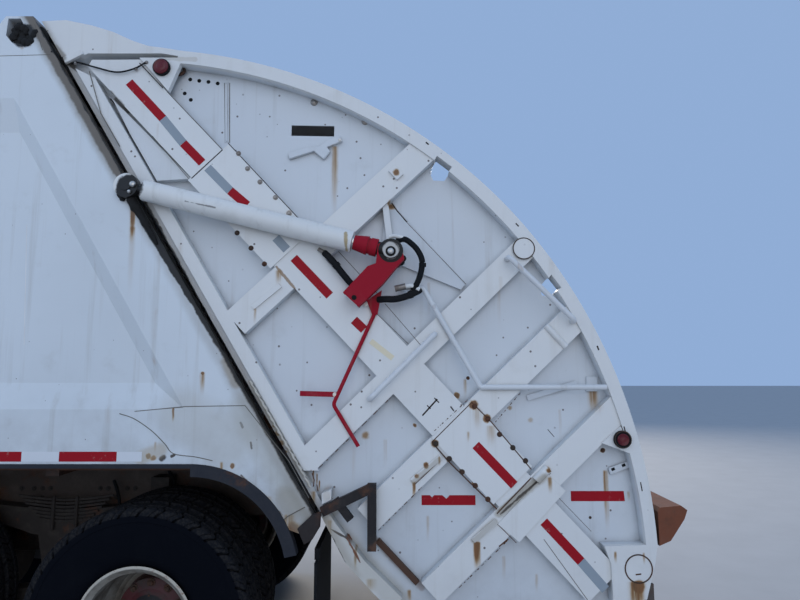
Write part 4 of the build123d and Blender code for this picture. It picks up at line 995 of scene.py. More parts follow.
class Shape:
    """Collects solids in one mesh. Lengths are in millimetres, outlines in the X-Z plane."""

    def __init__(self) -> None:
        """Starts with an empty mesh."""
        self.mesh = bmesh.new()

    def _loft(self, rings: list[list[Vector]]) -> None:
        """Joins rings of points into a closed skin.

        Args:
            rings: The rings from one end to the other, each with the same count of points.
        """
        made = [[self.mesh.verts.new(p) for p in ring] for ring in rings]
        count = len(made[0])
        for low, high in zip(made, made[1:]):
            for i in range(count):
                self.mesh.faces.new((low[i], low[(i + 1) % count], high[(i + 1) % count], high[i]))
        self.mesh.faces.new(list(reversed(made[0])))
        self.mesh.faces.new(made[-1])

    def prism(self, outline: list[Point], low: float, high: float, chamfer: float = 0.0) -> "Shape":
        """A plate with its outline in the X-Z plane.

        Args:
            outline: Corners as (X, Z).
            low: The inner face's Y.
            high: The outer face's Y.
            chamfer: How far the outer face is drawn in.

        Returns:
            This shape.
        """
        centre = Vector((sum(p[0] for p in outline), 0, sum(p[1] for p in outline))) / len(outline)
        rim = high - (chamfer if high > low else -chamfer)
        rings = [[Vector((x, y, z)) for x, z in outline] for y in (low, rim)]
        if chamfer:
            shrunk = []
            for x, z in outline:
                out = Vector((x, 0, z)) - centre
                pulled = centre + out * max(0.0, 1 - chamfer / max(out.length, 1e-6))
                shrunk.append(Vector((pulled.x, high, pulled.z)))
            rings.append(shrunk)
        self._loft(rings)
        return self

    def strip(self, start: Point, end: Point, width: float, low: float, high: float) -> "Shape":
        """A straight flat bar.

        Args:
            start: One end's X and Z.
            end: The other end's.
            width: Its width.
            low: The inner face's Y.
            high: The outer face's Y.

        Returns:
            This shape.
        """
        run = math.hypot(end[0] - start[0], end[1] - start[1])
        dx, dz = (end[0] - start[0]) / run * width / 2, (end[1] - start[1]) / run * width / 2
        outline = [(start[0] - dz, start[1] + dx), (end[0] - dz, end[1] + dx),
                   (end[0] + dz, end[1] - dx), (start[0] + dz, start[1] - dx)]
        return self.prism(outline, low, high)

    def slab(self, start: Point, end: Point, low: float, high: float, chamfer: float = 0.0) -> "Shape":
        """An upright rectangular plate between two opposite corners."""
        outline = [start, (end[0], start[1]), end, (start[0], end[1])]
        return self.prism(outline, low, high, chamfer)

    def facing(self, side: int, start: Point, end: Point, faces: Point) -> "Shape":
        """A rectangular plate that faces forwards.

        Args:
            side: -1 for the left, 1 for the right.
            start: One corner's distance from the middle and its height.
            end: The opposite corner's.
            faces: X of the rear and of the front face.

        Returns:
            This shape.
        """
        corners = (start, (end[0], start[1]), end, (start[0], end[1]))
        self._loft([[Vector((x, side * y, z)) for y, z in corners] for x in faces])
        return self

    def lines(self, rows: tuple, thick: float) -> "Shape":
        """Thin lines that lie on a face.

        Args:
            rows: Corners, width and the face's Y of each line.
            thick: How far the lines stand off.

        Returns:
            This shape.
        """
        for path, width, face in rows:
            for near, far in zip(path, path[1:]):
                self.strip(near, far, width, face, face + thick)
        return self

    def turned(self, centre: Place, axis: Place, profile: list[Point], sides: int = 16,
               spin: float = 0.0) -> "Shape":
        """A solid of revolution.

        Args:
            centre: The profile's zero.
            axis: The axis that the profile's heights follow.
            profile: (radius, height) pairs from one end to the other.
            sides: How many facets go round.
            spin: The first facet's angle, in degrees.

        Returns:
            This shape.
        """
        centre, frame_of = Vector(centre), Vector(axis).to_track_quat("Z", "Y").to_matrix()
        rings = []
        for radius, height in profile:
            ring = []
            for i in range(sides):
                angle = math.radians(spin) + math.tau * i / sides
                local = Vector((radius * math.cos(angle), radius * math.sin(angle), height))
                ring.append(centre + frame_of @ local)
            rings.append(ring)
        self._loft(rings)
        return self

    def bolt(self, x: float, y: float, z: float, size: float, side: int = 1, washer: bool = True) -> "Shape":
        """A hexagon head that faces outwards along Y.

        Args:
            x: Its X.
            y: The face that it sits on.
            z: Its height.
            size: About half its width.
            side: -1 on the left, 1 on the right.
            washer: Whether it sits on a washer.

        Returns:
            This shape.
        """
        axis, seat = (0, side, 0), (x, y, z)
        if washer:
            disc = [(size * 0.95, 0), (size * 0.95, size * 0.14), (size * 0.9, size * 0.18)]
            self.turned(seat, axis, disc, 16)
        head = [(size * 0.62, 0), (size * 0.62, size * 0.5), (size * 0.5, size * 0.62)]
        return self.turned(seat, axis, head, 6, x * 0.7 + z)

    def tube(self, points: list[Place], radius: float | list[float], sides: int = 10) -> "Shape":
        """A round bar, mitred at each point.

        Args:
            points: The points that it runs through.
            radius: Its radius, or a radius for every point.
            sides: How many facets go round.

        Returns:
            This shape.
        """
        points = [Vector(point) for point in points]
        radii = radius if isinstance(radius, list) else [radius] * len(points)
        rings = []
        for i, (point, wide) in enumerate(zip(points, radii)):
            before = points[max(i - 1, 0)]
            after = points[min(i + 1, len(points) - 1)]
            frame_of = (after - before).to_track_quat("Z", "Y").to_matrix()
            turns = (math.tau * k / sides for k in range(sides))
            around = (Vector((wide * math.cos(turn), wide * math.sin(turn), 0)) for turn in turns)
            rings.append([point + frame_of @ spot for spot in around])
        self._loft(rings)
        return self

    def edging(self, points: list[Place], radius: float, sides: int) -> "Shape":
        """A separate round bar for each straight run.

        Args:
            points: The corners.
            radius: The bars' radius.
            sides: How many facets go round.

        Returns:
            This shape.
        """
        for near, far in zip(points, points[1:]):
            self.tube([near, far], radius, sides)
        return self

    def ring(self, centre: Place, radius: float, thick: float, steps: int = 40, sides: int = 6) -> "Shape":
        """A round bead that faces outwards along Y.

        Args:
            centre: Its middle.
            radius: The ring's radius.
            thick: The bead's radius.
            steps: How many lengths go round the ring.
            sides: How many facets go round the bead.

        Returns:
            This shape.
        """
        loops, middle = [], Vector(centre)
        for i in range(steps):
            turn = math.tau * i / steps
            out = Vector((math.cos(turn), 0, math.sin(turn)))
            loop = []
            for k in range(sides):
                tilt = math.tau * k / sides
                lift = Vector((0, thick * math.sin(tilt), 0))
                loop.append(self.mesh.verts.new(middle + out * (radius + thick * math.cos(tilt)) + lift))
            loops.append(loop)
        for near, far in zip(loops, loops[1:] + loops[:1]):
            for k in range(sides):
                self.mesh.faces.new((near[k], near[(k + 1) % sides], far[(k + 1) % sides], far[k]))
        return self

    def both_sides(self) -> "Shape":
        """Adds the mirror image across the truck's middle.

        Returns:
            This shape.
        """
        whole = self.mesh.verts[:] + self.mesh.edges[:] + self.mesh.faces[:]
        twin = bmesh.ops.duplicate(self.mesh, geom=whole)["geom"]
        for item in twin:
            if isinstance(item, bmesh.types.BMVert):
                item.co.y = -item.co.y
        faces = [item for item in twin if isinstance(item, bmesh.types.BMFace)]
        bmesh.ops.reverse_faces(self.mesh, faces=faces)
        return self

    def piece(self, name: str, body: str, slot: str, finish: Finish, bevel: float = 0.0,
              smooth: float = 35.0) -> bpy.types.Object:
        """Makes the object and puts it on a body.

        Args:
            name: The object's name.
            body: The CAD body it rides on.
            slot: The record's material slot; not used.
            finish: Its surface.
            bevel: Width of a rounding on its edges, in millimetres.
            smooth: Edges flatter than this many degrees are shaded smooth.

        Returns:
            The object.
        """
        bmesh.ops.scale(self.mesh, vec=(MM,) * 3, verts=self.mesh.verts)
        bmesh.ops.recalc_face_normals(self.mesh, faces=self.mesh.faces)
        if bevel:
            least = math.radians(BEVEL_ANGLE)
            sharp = [e for e in self.mesh.edges if len(e.link_faces) == 2 and e.calc_face_angle(0) > least]
            bmesh.ops.bevel(self.mesh, geom=sharp, offset=bevel * MM, segments=2, affect="EDGES",
                            clamp_overlap=True)
        data = bpy.data.meshes.new(name)
        self.mesh.to_mesh(data)
        self.mesh.free()
        data.polygons.foreach_set("use_smooth", [True] * len(data.polygons))
        data.set_sharp_from_angle(angle=math.radians(smooth))
        made = bpy.data.objects.new(name, data)
        bpy.context.scene.collection.objects.link(made)
        data.materials.append(finish.material())
        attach(made, body)
        return made


def smooth_path(points: list[tuple[float, float, float]], steps: int = 8) -> list[Vector]:
    """Points along a Catmull-Rom curve through a few given ones.

    Args:
        points: The given points, in millimetres.
        steps: How many points each span gets.

    Returns:
        The curve's points.
    """
    knots = [Vector(p) for p in points]
    knots = [knots[0] * 2 - knots[1], *knots, knots[-1] * 2 - knots[-2]]
    path = []
    for a, b, c, d in zip(knots, knots[1:], knots[2:], knots[3:]):
        for k in range(steps):
            t = k / steps
            slow = (2 * b) + (c - a) * t + (2 * a - 5 * b + 4 * c - d) * t * t
            path.append(0.5 * (slow + (3 * b - a - 3 * c + d) * t ** 3))
    return [*path, knots[-2]]


# Sub-assemblies

class Hand(Enum):
    """The truck's two sides."""

    LEFT = -1
    RIGHT = 1


@dataclass
class Tyres:
    """Ten road tyres with zig-zag blocks in place of the plain rings. Lengths are in millimetres.

    Attributes:
        radius: Outer radius.
        width: Section width.
        bead: Radius where the tyre meets the rim.
        groove: Tread depth.
        notch: How deep the shoulder is cut.
        pitches: Blocks round the tyre.
        sway: How far the blocks zig-zag, as a share of their pitch.
        twins: Distances of a twin wheel's tyres from the middle.
        front: A front tyre's distance from the middle.
    """

    radius: float = 520.0
    width: float = 268.0
    bead: float = 253.0
    groove: float = 17.0
    notch: float = 9.0
    pitches: int = 36
    sway: float = 0.42
    twins: tuple[float, float] = TWIN_OFFSETS
    front: float = FRONT_OFFSET

    def section(self) -> list[tuple[float, float, float, float, float]]:
        """Goes across the tyre.

        Returns:
            Radius, offset, groove share, notch share and zig-zag of each point.
        """
        half, r = self.width / 2, self.radius
        side = [(self.bead, half - 34), (self.bead + 14, half - 18), (self.bead + 34, half - 9),
                (self.bead + 38, half - 6), (self.bead + 60, half - 2), (self.bead + 130, half),
                (self.bead + 170, half - 1), (r - 66, half - 5), (r - 62, half - 3), (r - 42, half - 7)]
        right = [(at, y, 0.0, 0.0, 0.0) for at, y in side]
        right += [(r - 37, half - 9, 0.25, 1.0, 0.0), (r - 20, half - 13, 0.45, 1.0, 0.3),
                  (r - 6, half - 18, 0.9, 0.5, 0.75), (r - 2, half - 26, 1.0, 0.0, 0.9),
                  (r - 1, 84, 1.0, 0.0, 0.35), (r - 1, 80, -1.0, 0.0, 0.3), (r - 1, 68, -1.0, 0.0, 0.3),
                  (r, 64, 1.0, 0.0, 0.3), (r, 38, 1.0, 0.0, 0.8), (r, 22, 1.0, 0.0, 0.3),
                  (r, 17, -1.0, 0.0, 0.2), (r, 4, -1.0, 0.0, 0.2)]
        left = [(at, -y, cut, notch, 0.5 - zig) for at, y, cut, notch, zig in reversed(right)]
        return right + left

    def ring(self, shape: Shape, centre: Vector, phase: float) -> None:
        """Adds one tyre.

        Args:
            shape: What it is added to.
            centre: The tyre's middle.
            phase: How far its blocks are turned, in pitches.
        """
        stops = ((0.0, 0.0), (0.04, 1.0), (0.14, 1.0), (0.18, 0.0), (0.40, 0.0), (0.44, 0.35), (0.47, 0.35),
                 (0.51, 0.0), (0.76, 0.0))
        profile = self.section()
        columns = []
        for pitch in range(self.pitches):
            for share, cut in stops:
                column = []
                for radius, offset, depth, notch, zig in profile:
                    angle = math.tau * (pitch + share + phase + zig * self.sway) / self.pitches
                    drop = self.groove if depth < 0 else self.groove * depth * cut
                    inset = self.notch * notch * cut
                    r = radius - drop
                    place = Vector((r * math.cos(angle), offset - math.copysign(inset, offset),
                                    r * math.sin(angle)))
                    column.append(shape.mesh.verts.new(centre + place))
                columns.append(column)
        for near, far in zip(columns, columns[1:] + columns[:1]):
            for i in range(len(profile) - 1):
                shape.mesh.faces.new((near[i], near[i + 1], far[i + 1], far[i]))
            shape.mesh.faces.new((near[-1], near[0], far[0], far[-1]))

    def build(self) -> None:
        """Makes the six tyre pieces and hides the plain ones."""
        for hand in Hand:
            name = hand.name.lower()
            spots = [(f"front_tyre_{name}", "front_wheel", (self.front,)),
                     (f"mid_tyres_{name}", "mid_wheels", self.twins),
                     (f"rear_tyres_{name}", "rear_wheels", self.twins)]
            for node, body, offsets in spots:
                shape = Shape()
                for k, offset in enumerate(offsets):
                    self.ring(shape, Vector((AXLES[body], hand.value * offset, AXLE_HEIGHT)), 0.5 * k + 0.3)
                made = shape.piece(f"{node}_tread", f"{body}_{name}", "tyre_rubber", TYRE, smooth=28)
                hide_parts(node)


@dataclass
class WheelTrim:
    """Wheel nuts, hub cap bolts and valve stems. Lengths are in millimetres.

    Attributes:
        nuts: Nuts on a wheel.
        nut: A nut's size.
        caps: Bolts on a hub's cap.
        cap_bolt: One of those bolts' size.
        cap_circle: Radius of their circle.
        stem: The valve stem's radius.
    """

    nuts: int = 10
    nut: float = 21.0
    caps: int = 8
    cap_bolt: float = 9.0
    cap_circle: float = 84.0
    stem: float = 5.0

    def build(self) -> None:
        """Makes the nuts and the valve of each wheel."""
        rear = (136, TWIN_MIDDLE + 102, TWIN_MIDDLE + 140, TWIN_OFFSETS[1])
        wheels = {"front_wheel": (128, FRONT_OFFSET + 112, FRONT_OFFSET + 182, FRONT_OFFSET),
                  "mid_wheels": rear, "rear_wheels": rear}
        for hand in Hand:
            side = hand.value
            for wheel, (circle, face, cap, tyre) in wheels.items():
                body = f"{wheel}_{hand.name.lower()}"
                nuts, valve = Shape(), Shape()
                x = AXLES[wheel]
                for k in range(self.nuts):
                    angle = math.tau * (k + 0.5) / self.nuts
                    nuts.bolt(x + circle * math.cos(angle), side * face,
                              AXLE_HEIGHT + circle * math.sin(angle), self.nut, side)
                for k in range(self.caps):
                    angle = math.tau * k / self.caps
                    nuts.bolt(x + self.cap_circle * math.cos(angle), side * (cap - 18),
                              AXLE_HEIGHT + self.cap_circle * math.sin(angle), self.cap_bolt, side, False)
                nuts.piece(f"{body}_nuts", body, "steel_bare", RUSTY_BOLT)
                valve.tube([(x + 214, side * (tyre + 60), 560), (x + 190, side * (tyre + 110), 556)],
                           self.stem, 8)
                valve.piece(f"{body}_valve", body, "steel_bare", BOLT)


@dataclass
class TailgateTape:
    """Reflective tape along the slide track and across the tailgate's foot, on both sides.

    Attributes:
        ribs: The ribs' face, in millimetres from the middle.
        covers: The bolted covers' face.
        plate: The sunk plate's face.
        thick: The tape's thickness.
        width: The tape's width.
        label: The blank label's width.
    """

    ribs: float = RIB_FACE
    covers: float = COVER_FACE
    plate: float = PLATE_FACE
    thick: float = 0.8
    width: float = 42.0
    label: float = 26.0

    def build(self) -> None:
        """Makes one piece for each colour of tape."""
        runs = (
            (TAPE_RED, self.ribs, (2077, 3077), (2253, 2889)),
            (TAPE_GREY, self.ribs, (2253, 2889), (2358, 2763)),
            (TAPE_RED, self.ribs, (2358, 2763), (2455, 2664)),
            (TAPE_GREY, self.covers, (2484, 2637), (2597, 2522)),
            (TAPE_RED, self.covers, (2597, 2522), (2682, 2450)),
            (TAPE_GREY, self.covers, (2824, 2290), (2878, 2232)),
            (TAPE_RED, self.ribs, (2911, 2193), (3086, 2011)),
            (TAPE_RED, self.ribs, (3202, 1895), (3250, 1849)), (LABEL, self.ribs, (3282, 1795), (3386, 1714)),
            (TAPE_RED, self.covers, (3769, 1316), (3943, 1136)),
            (TAPE_RED, self.ribs, (4075, 973), (4239, 799)), (TAPE_GREY, self.ribs, (4239, 799), (4345, 678)))
        shapes = {tape: Shape() for tape in (TAPE_RED, TAPE_GREY, LABEL)}
        for tape, face, start, end in runs:
            wide = self.label if tape is LABEL else self.width
            shapes[tape].strip(start, end, wide, face, face + self.thick)
        torn = [(3521, 1032), (3773, 1032), (3773, 1077), (3652, 1077), (3646, 1070), (3637, 1061),
                (3618, 1077), (3580, 1077), (3570, 1067), (3560, 1077), (3521, 1077)]
        shapes[TAPE_RED].prism(torn, self.plate, self.plate + self.thick)
        whole = [(4220, 1050), (4472, 1050), (4468, 1096), (4220, 1096)]
        shapes[TAPE_RED].prism(whole, self.plate, self.plate + self.thick)
        for tape, shape in shapes.items():
            shape.both_sides().piece(f"tailgate_{tape.name}", "tailgate", "lamp_red", tape)


@dataclass
class BodyTape:
    """Red and white tape along the load body's sill. Lengths are in millimetres.

    Attributes:
        red: Length of a red strip.
        white: Length of a white one.
        first: Length of the strip beside the wheel arch.
        low: The tape's lower edge.
        high: Its upper edge.
        face: The body's side.
        thick: The tape's thickness.
        rear: X where it starts.
        front: X where it ends.
    """

    red: float = 262.0
    white: float = 171.0
    first: float = 115.0
    low: float = 1246.0
    high: float = 1290.0
    face: float = BODY_FACE
    thick: float = 0.8
    rear: float = 2246.0
    front: float = -1450.0

    def build(self) -> None:
        """Adds the strips from the wheel arch to the front of the body."""
        shapes = {TAPE_WHITE: Shape(), TAPE_RED: Shape()}
        tape, x, run = TAPE_WHITE, self.rear, self.first
        while x > self.front + 10:
            end = max(x - run, self.front)
            shapes[tape].slab((end + 1, self.low), (x, self.high), self.face, self.face + self.thick)
            x = end
            tape = TAPE_RED if tape is TAPE_WHITE else TAPE_WHITE
            run = self.red if tape is TAPE_RED else self.white
        shapes[TAPE_RED].both_sides().piece("body_red_tape", "truck", "lamp_red", TAPE_RED)
        shapes[TAPE_WHITE].both_sides().piece("body_white_tape", "truck", "paint_white", TAPE_WHITE)


@dataclass
class BodyFittings:
    """Weld bead, painted edge shadows, latch foot, scratch, pin ends and grease on the load body.

    Attributes:
        face: The body's side, in millimetres from the middle.
        lumps: Lumps of grease at the tailgate's hinge.
    """

    face: float = BODY_FACE
    lumps: int = 46

    def build(self) -> None:
        """Makes each kind of fitting on both sides."""
        bead = [(2134, 1461), (2204, 1437), (2286, 1383), (2348, 1325), (2390, 1281),
                (2489, 1267), (2568, 1250)]
        weld = Shape().tube(smooth_path([(x, self.face, z) for x, z in bead], 5), 2.0, 6)
        # These lines along the panels' overlapping edges are painted shadow; the bead is a real weld
        edge = ((2203, 1471), (2440, 1493), (2709, 1497), (2822, 1359), (2913, 1252), (3010, 1085))
        weld.lines(((edge, 3.5, self.face), (((1455, 3192), (1701, 3199)), 3, self.face),
                    (((1613, 3359), (1662, 3222)), 3, self.face)), 0.4)
        weld.lines(((((2900, 992), (2914, 1005), (2992, 1046)), 4, self.face),), 2)
        weld.both_sides().piece("corner_weld_and_edge_shadow", "truck", "paint_frame", EDGE, smooth=60)
        # A dark strip over the floor cross-members' ends: painted shade under the body, in a rusty colour
        strip = Shape().slab((-1440, 1192), (2450, 1212), 1120, 1122)
        strip.both_sides().piece("floor_edge_rust_and_shade", "truck", "paint_brown", RUST_LINE)
        outline = [(2961, 955), (2993, 887), (3029, 908), (3063, 964), (3067, 1029), (3027, 1016)]
        foot = Shape().prism(outline, self.face, self.face + 22, 4)
        foot.both_sides().piece("latch_foot", "truck", "iron", LATCH_STEEL, bevel=2)
        scratch = Shape().strip((1623, 2353), (1651, 1777), 4, self.face - 38, self.face - 37.7)
        scratch.both_sides().piece("body_scratch", "truck", "paint_white", PALE)
        ends = Shape()
        for x, z, size in ((2160, 2530, 15), (2146, 2494, 9)):
            head = [(size, 0), (size, 6), (size * 0.7, 10), (size * 0.3, 12)]
            ends.turned((x, 1264, z), OUTWARD, head, 18)
        ends.both_sides().piece("lift_pin_ends", "truck", "steel_bare", NIPPLE, smooth=50)
        gunk = Shape()
        for points, radii in (
                ([(2085, 2585), (2105, 2560), (2128, 2500), (2148, 2450), (2180, 2400), (2225, 2330),
                  (2270, 2250)], [5, 12, 21, 23, 17, 13, 6]),
                ([(2078, 2560), (2070, 2530), (2080, 2495), (2105, 2462)], [6, 12, 13, 8])):
            path = smooth_path([(x, 1222 + 6 * (k % 2), z) for k, (x, z) in enumerate(points)], 4)
            wide = [radii[min(k // 4, len(radii) - 1)] * (1 + 0.18 * math.sin(k * 2.4))
                    for k in range(len(path))]
            gunk.tube(path, wide, 9)
        for k in range(self.lumps):
            turn = k * 2.4
            reach = 8.6 * math.sqrt(k)
            place = (1562 + reach * math.cos(turn), 1196 + 7 * (k % 4), 3302 + reach * math.sin(turn))
            size = 19 + 5 * math.sin(k * 1.7)
            lump = [(size * 0.6, -size * 0.5), (size, 0), (size * 0.5, size * 0.6)]
            gunk.turned(place, (math.sin(k), 2, math.cos(k)), lump, 8)
        gunk.both_sides().piece("hinge_grease", "truck", "rubber_black", GUNK, smooth=70)


@dataclass
class TailgateFittings:
    """Bolts, marks, hoses, brackets and the seam's rubber on the tailgate's sides.

    Attributes:
        cover: The bolted covers' face, in millimetres from the middle.
        rib: The ribs' face.
        plate: The sunk plate's face.
        dashes: Rust dashes under a rib.
        caulk_steps: Lengths of the caulk along the seam.
        seal_steps: Lengths of the seam's rubber.
    """

    cover: float = COVER_FACE
    rib: float = RIB_FACE
    plate: float = PLATE_FACE
    dashes: int = 14
    caulk_steps: int = 48
    seal_steps: int = 109

    def bolts(self) -> None:
        """Bolt heads along the edges of the bolted track covers, and domed plugs on the plate."""
        dark, clean = Shape(), Shape()
        for x, z in ((3585, 1322), (3647, 1254), (3705, 1195), (3764, 1134), (3821, 1073), (3880, 1364),
                     (3940, 1304), (3997, 1245), (3766, 1492), (3827, 1434), (2638, 2313), (2707, 2239),
                     (2773, 2162)):
            dark.bolt(x, self.cover, z, 13)
        for x, z in ((2633, 2708), (2679, 2632), (2741, 2565), (2818, 2488), (2885, 2409)):
            clean.bolt(x, self.cover, z, 13)
        clean.bolt(3400, self.rib, 2606, 17)
        dark.bolt(3738, self.rib, 1622, 9).bolt(4377, self.plate, 1283, 11).bolt(4307, self.plate, 976, 7)
        for x, z in ((2986, 3001), (3244, 2901)):
            clean.turned((x, self.plate, z), OUTWARD, [(18, 0), (17, 5), (11, 9), (3, 11)], 16)
        dark.both_sides().piece("rusty_bolts", "tailgate", "steel_bare", RUSTY_BOLT)
        clean.both_sides().piece("tailgate_bolts", "tailgate", "steel_bare", BOLT)

    def marks(self) -> None:
        """Open bolt holes and slots filled with painted shade, scratches and scuffs, painted shade in gaps
        and painted shadow along plate edges, as thin dark patches.
        """
        shape = Shape()
        # Black discs and strips where holes and slots are: painted shade in the openings
        for x, z in ((2356, 3123), (2402, 3116), (2449, 3110), (2496, 3102), (2331, 3049), (2363, 3015)):
            shape.turned((x, self.plate, z), OUTWARD, [(10, 0), (10, 0.6)], 14)
        for x, z in ((4418, 1198), (4468, 1216)):
            shape.strip((x - 8, z - 3), (x + 8, z + 3), 13, self.plate + 14, self.plate + 14.5)
        shape.turned((3209, 1277.2, 1990), OUTWARD, [(12, 0), (12, 0.6)], 16)
        shape.both_sides().piece("tailgate_bolt_holes", "tailgate", "paint_frame", HOLE_SHADE)
        scuff = Shape().lines((
            (((3524, 1449), (3594, 1525)), 7, self.rib), (((3546, 1496), (3562, 1480)), 5, self.rib),
            (((3580, 1530), (3602, 1508)), 5, self.rib), (((3655, 1491), (3671, 1470)), 6, self.rib),
            (((3546, 2764), (3560, 2752)), 7, 1190), (((3976, 2360), (3990, 2344)), 6, 1190),
            (((4345, 1772), (4352, 1752)), 7, 1190), (((4455, 1400), (4462, 1370)), 5, 1190),
            (((4520, 1150), (4526, 1110)), 5, 1190)), 0.4)
        # Dark lines along slots and the covers' edges, such as beside the lamp plate: painted shade in the
        # gaps, with a few scuffs
        scuff.lines((
            (((2580, 2761), (2936, 2380)), 4, self.cover), (((2554, 2727), (2408, 2583)), 5, self.cover),
            (((2129, 3171), (2251, 3041)), 5, 1191),
            (((3380, 2463), (3404, 2426), (3454, 2367)), 6, self.rib),
            (((1976, 3006), (2014, 2960), (2077, 2829)), 9, 1150),
            (((4120, 1380), (4150, 1345)), 3, self.plate)), 0.5)
        scuff.both_sides().piece("tailgate_scuffs_and_gap_shade", "tailgate", "paint_frame", SCUFF_AND_GAP_SHADE)
        # Thin dark lines along plate edges and beside the raised channel: painted contact shadow
        edge = Shape().lines((
            (((2269, 3026), (2554, 2727), (2408, 2583)), 4, self.rib),
            (((3454, 2365), (3734, 2066)), 3, self.rib), (((3303, 1931), (3461, 1780)), 3, self.rib),
            (((3348, 1973), (3469, 1833), (3532, 1758)), 3, self.rib),
            (((4073, 896), (4262, 634)), 3, self.rib), (((4140, 1085), (4290, 930)), 2.5, self.rib),
            (((2205, 2800), (2400, 2575)), 3, self.rib), (((2530, 3105), (2544, 2792)), 3, self.plate),
            (((2557, 3105), (2567, 2790)), 3, self.plate), (((3350, 1986), (3060, 2300)), 3, self.plate),
            (((1880, 3130), (1950, 2912), (2052, 2744)), 4, self.rib + 6)), 0.5)
        edge.both_sides().piece("plate_edge_shadow_lines", "tailgate", "paint_frame", EDGE)
        rusty = Shape().lines((
            (((3567, 1329), (3646, 1239), (3862, 1029)), 6, self.cover),
            (((3753, 1510), (3844, 1419), (4023, 1206)), 5, self.cover),
            (((3567, 1329), (3753, 1510)), 4, self.cover), (((3480, 1150), (3601, 1263)), 4, self.rib + 1),
            (((3488, 1138), (3609, 1250)), 3, self.rib + 1), (((3750, 886), (3850, 984)), 4, self.rib + 1),
            (((3862, 1008), (4023, 1168)), 5, self.rib + 1), (((3905, 984), (4062, 1138)), 7, self.rib + 1),
            (((3869, 864), (3912, 897)), 6, self.rib), (((3848, 978), (3948, 880)), 3, self.rib),
            (((3018, 1190), (3028, 1160), (3024, 1130)), 5, 1192), (((3040, 1140), (3046, 1110)), 5, 1192),
            (((4480, 745), (4505, 748)), 6, self.rib + 10)), 0.6)
        for start, end in (((3322, 935), (3526, 1132)), ((3686, 686), (3915, 896)),
                           ((3046, 1210), (3389, 1544)), ((3862, 1419), (3986, 1558)),
                           ((3579, 1379), (3742, 1527))):
            near, far = Vector(start), Vector(end)
            for k in range(self.dashes):
                low = (k + 0.5 * math.sin(k * 5.1) ** 2) / self.dashes
                high = (k + 0.75 + 0.25 * math.sin(k * 3.3)) / self.dashes
                width = 3 + 1.5 * math.sin(k * 2.7)
                rusty.strip(near.lerp(far, low), near.lerp(far, high), width, self.rib, self.rib + 0.6)
        rusty.both_sides().piece("rust_lines", "tailgate", "paint_brown", RUST_LINE)
        rings = Shape()
        for centre, radius, bead in (((4012, 1190, 2237), 51, 2.6), ((4495, 1190, 770), 61, 3.2),
                                     ((4443, 1206, 1342), 37, 2.5)):
            rings.ring(centre, radius, bead)
        rings.both_sides().piece("tube_end_rust", "tailgate", "paint_brown", RUSTY_BOLT, smooth=60)

    def lines(self) -> None:
        """Hoses round the lift cylinder's pin, the lamp's thin cable and its bent pipe."""
        shape = Shape()
        routes = (
            ([(3060, 1195, 2214), (3085, 1212, 2190), (3115, 1216, 2155), (3150, 1215, 2110),
              (3190, 1205, 2064), (3220, 1185, 2040)], 16),
            ([(3405, 1215, 2268), (3440, 1228, 2273), (3470, 1230, 2255), (3502, 1230, 2221),
              (3523, 1230, 2175), (3521, 1230, 2129), (3509, 1230, 2084), (3494, 1226, 2052),
              (3480, 1212, 2036)], 14),
            ([(3318, 1190, 1990), (3350, 1212, 1990), (3398, 1216, 1990), (3453, 1216, 2004),
              (3498, 1212, 2025), (3512, 1196, 2034)], 16),
            ([(1796, 1190, 3168), (1822, 1193, 3174), (1917, 1194, 3146), (2020, 1194, 3122),
              (2105, 1194, 3140), (2160, 1194, 3172)], 4))
        for route, radius in routes:
            shape.tube(smooth_path(route), radius, 12 if radius > 5 else 6)
        for x, z, turn, size in ((3120, 2150, -50, 19), (3526, 2150, 88, 17), (3470, 2012, 22, 19)):
            turn = math.radians(turn)
            along = Vector((math.cos(turn), 0, math.sin(turn))) * 9
            middle = Vector((x, 1216 if z < 2100 or x < 3200 else 1230, z))
            shape.tube([middle - along, middle + along], size, 12)
        shape.both_sides().piece("tailgate_hoses", "tailgate", "rubber_black", HOSE, smooth=60)
        pipe = Shape().tube(smooth_path([(2270, 1128, 3118), (2289, 1135, 3133), (2318, 1137, 3142),
                                         (2333, 1137, 3156), (2326, 1137, 3180), (2324, 1135, 3200),
                                         (2345, 1132, 3212), (2385, 1126, 3212)]), 8, 10)
        pipe.both_sides().piece("bent_pipe", "tailgate", "paint_brown", RUSTY_BOLT, smooth=60)
        clips = Shape()
        for x, z in ((2163, 3174), (2112, 3141), (1812, 3172)):
            clips.bolt(x, 1190, z, 10)
        clips.tube([(3396, 1222, 2038), (3446, 1226, 2049)], 15, 12)
        clips.tube([(3030, 1192, 2233), (3066, 1196, 2212)], 10, 10)
        clips.both_sides().piece("hose_clips", "tailgate", "steel_bare", BOLT)

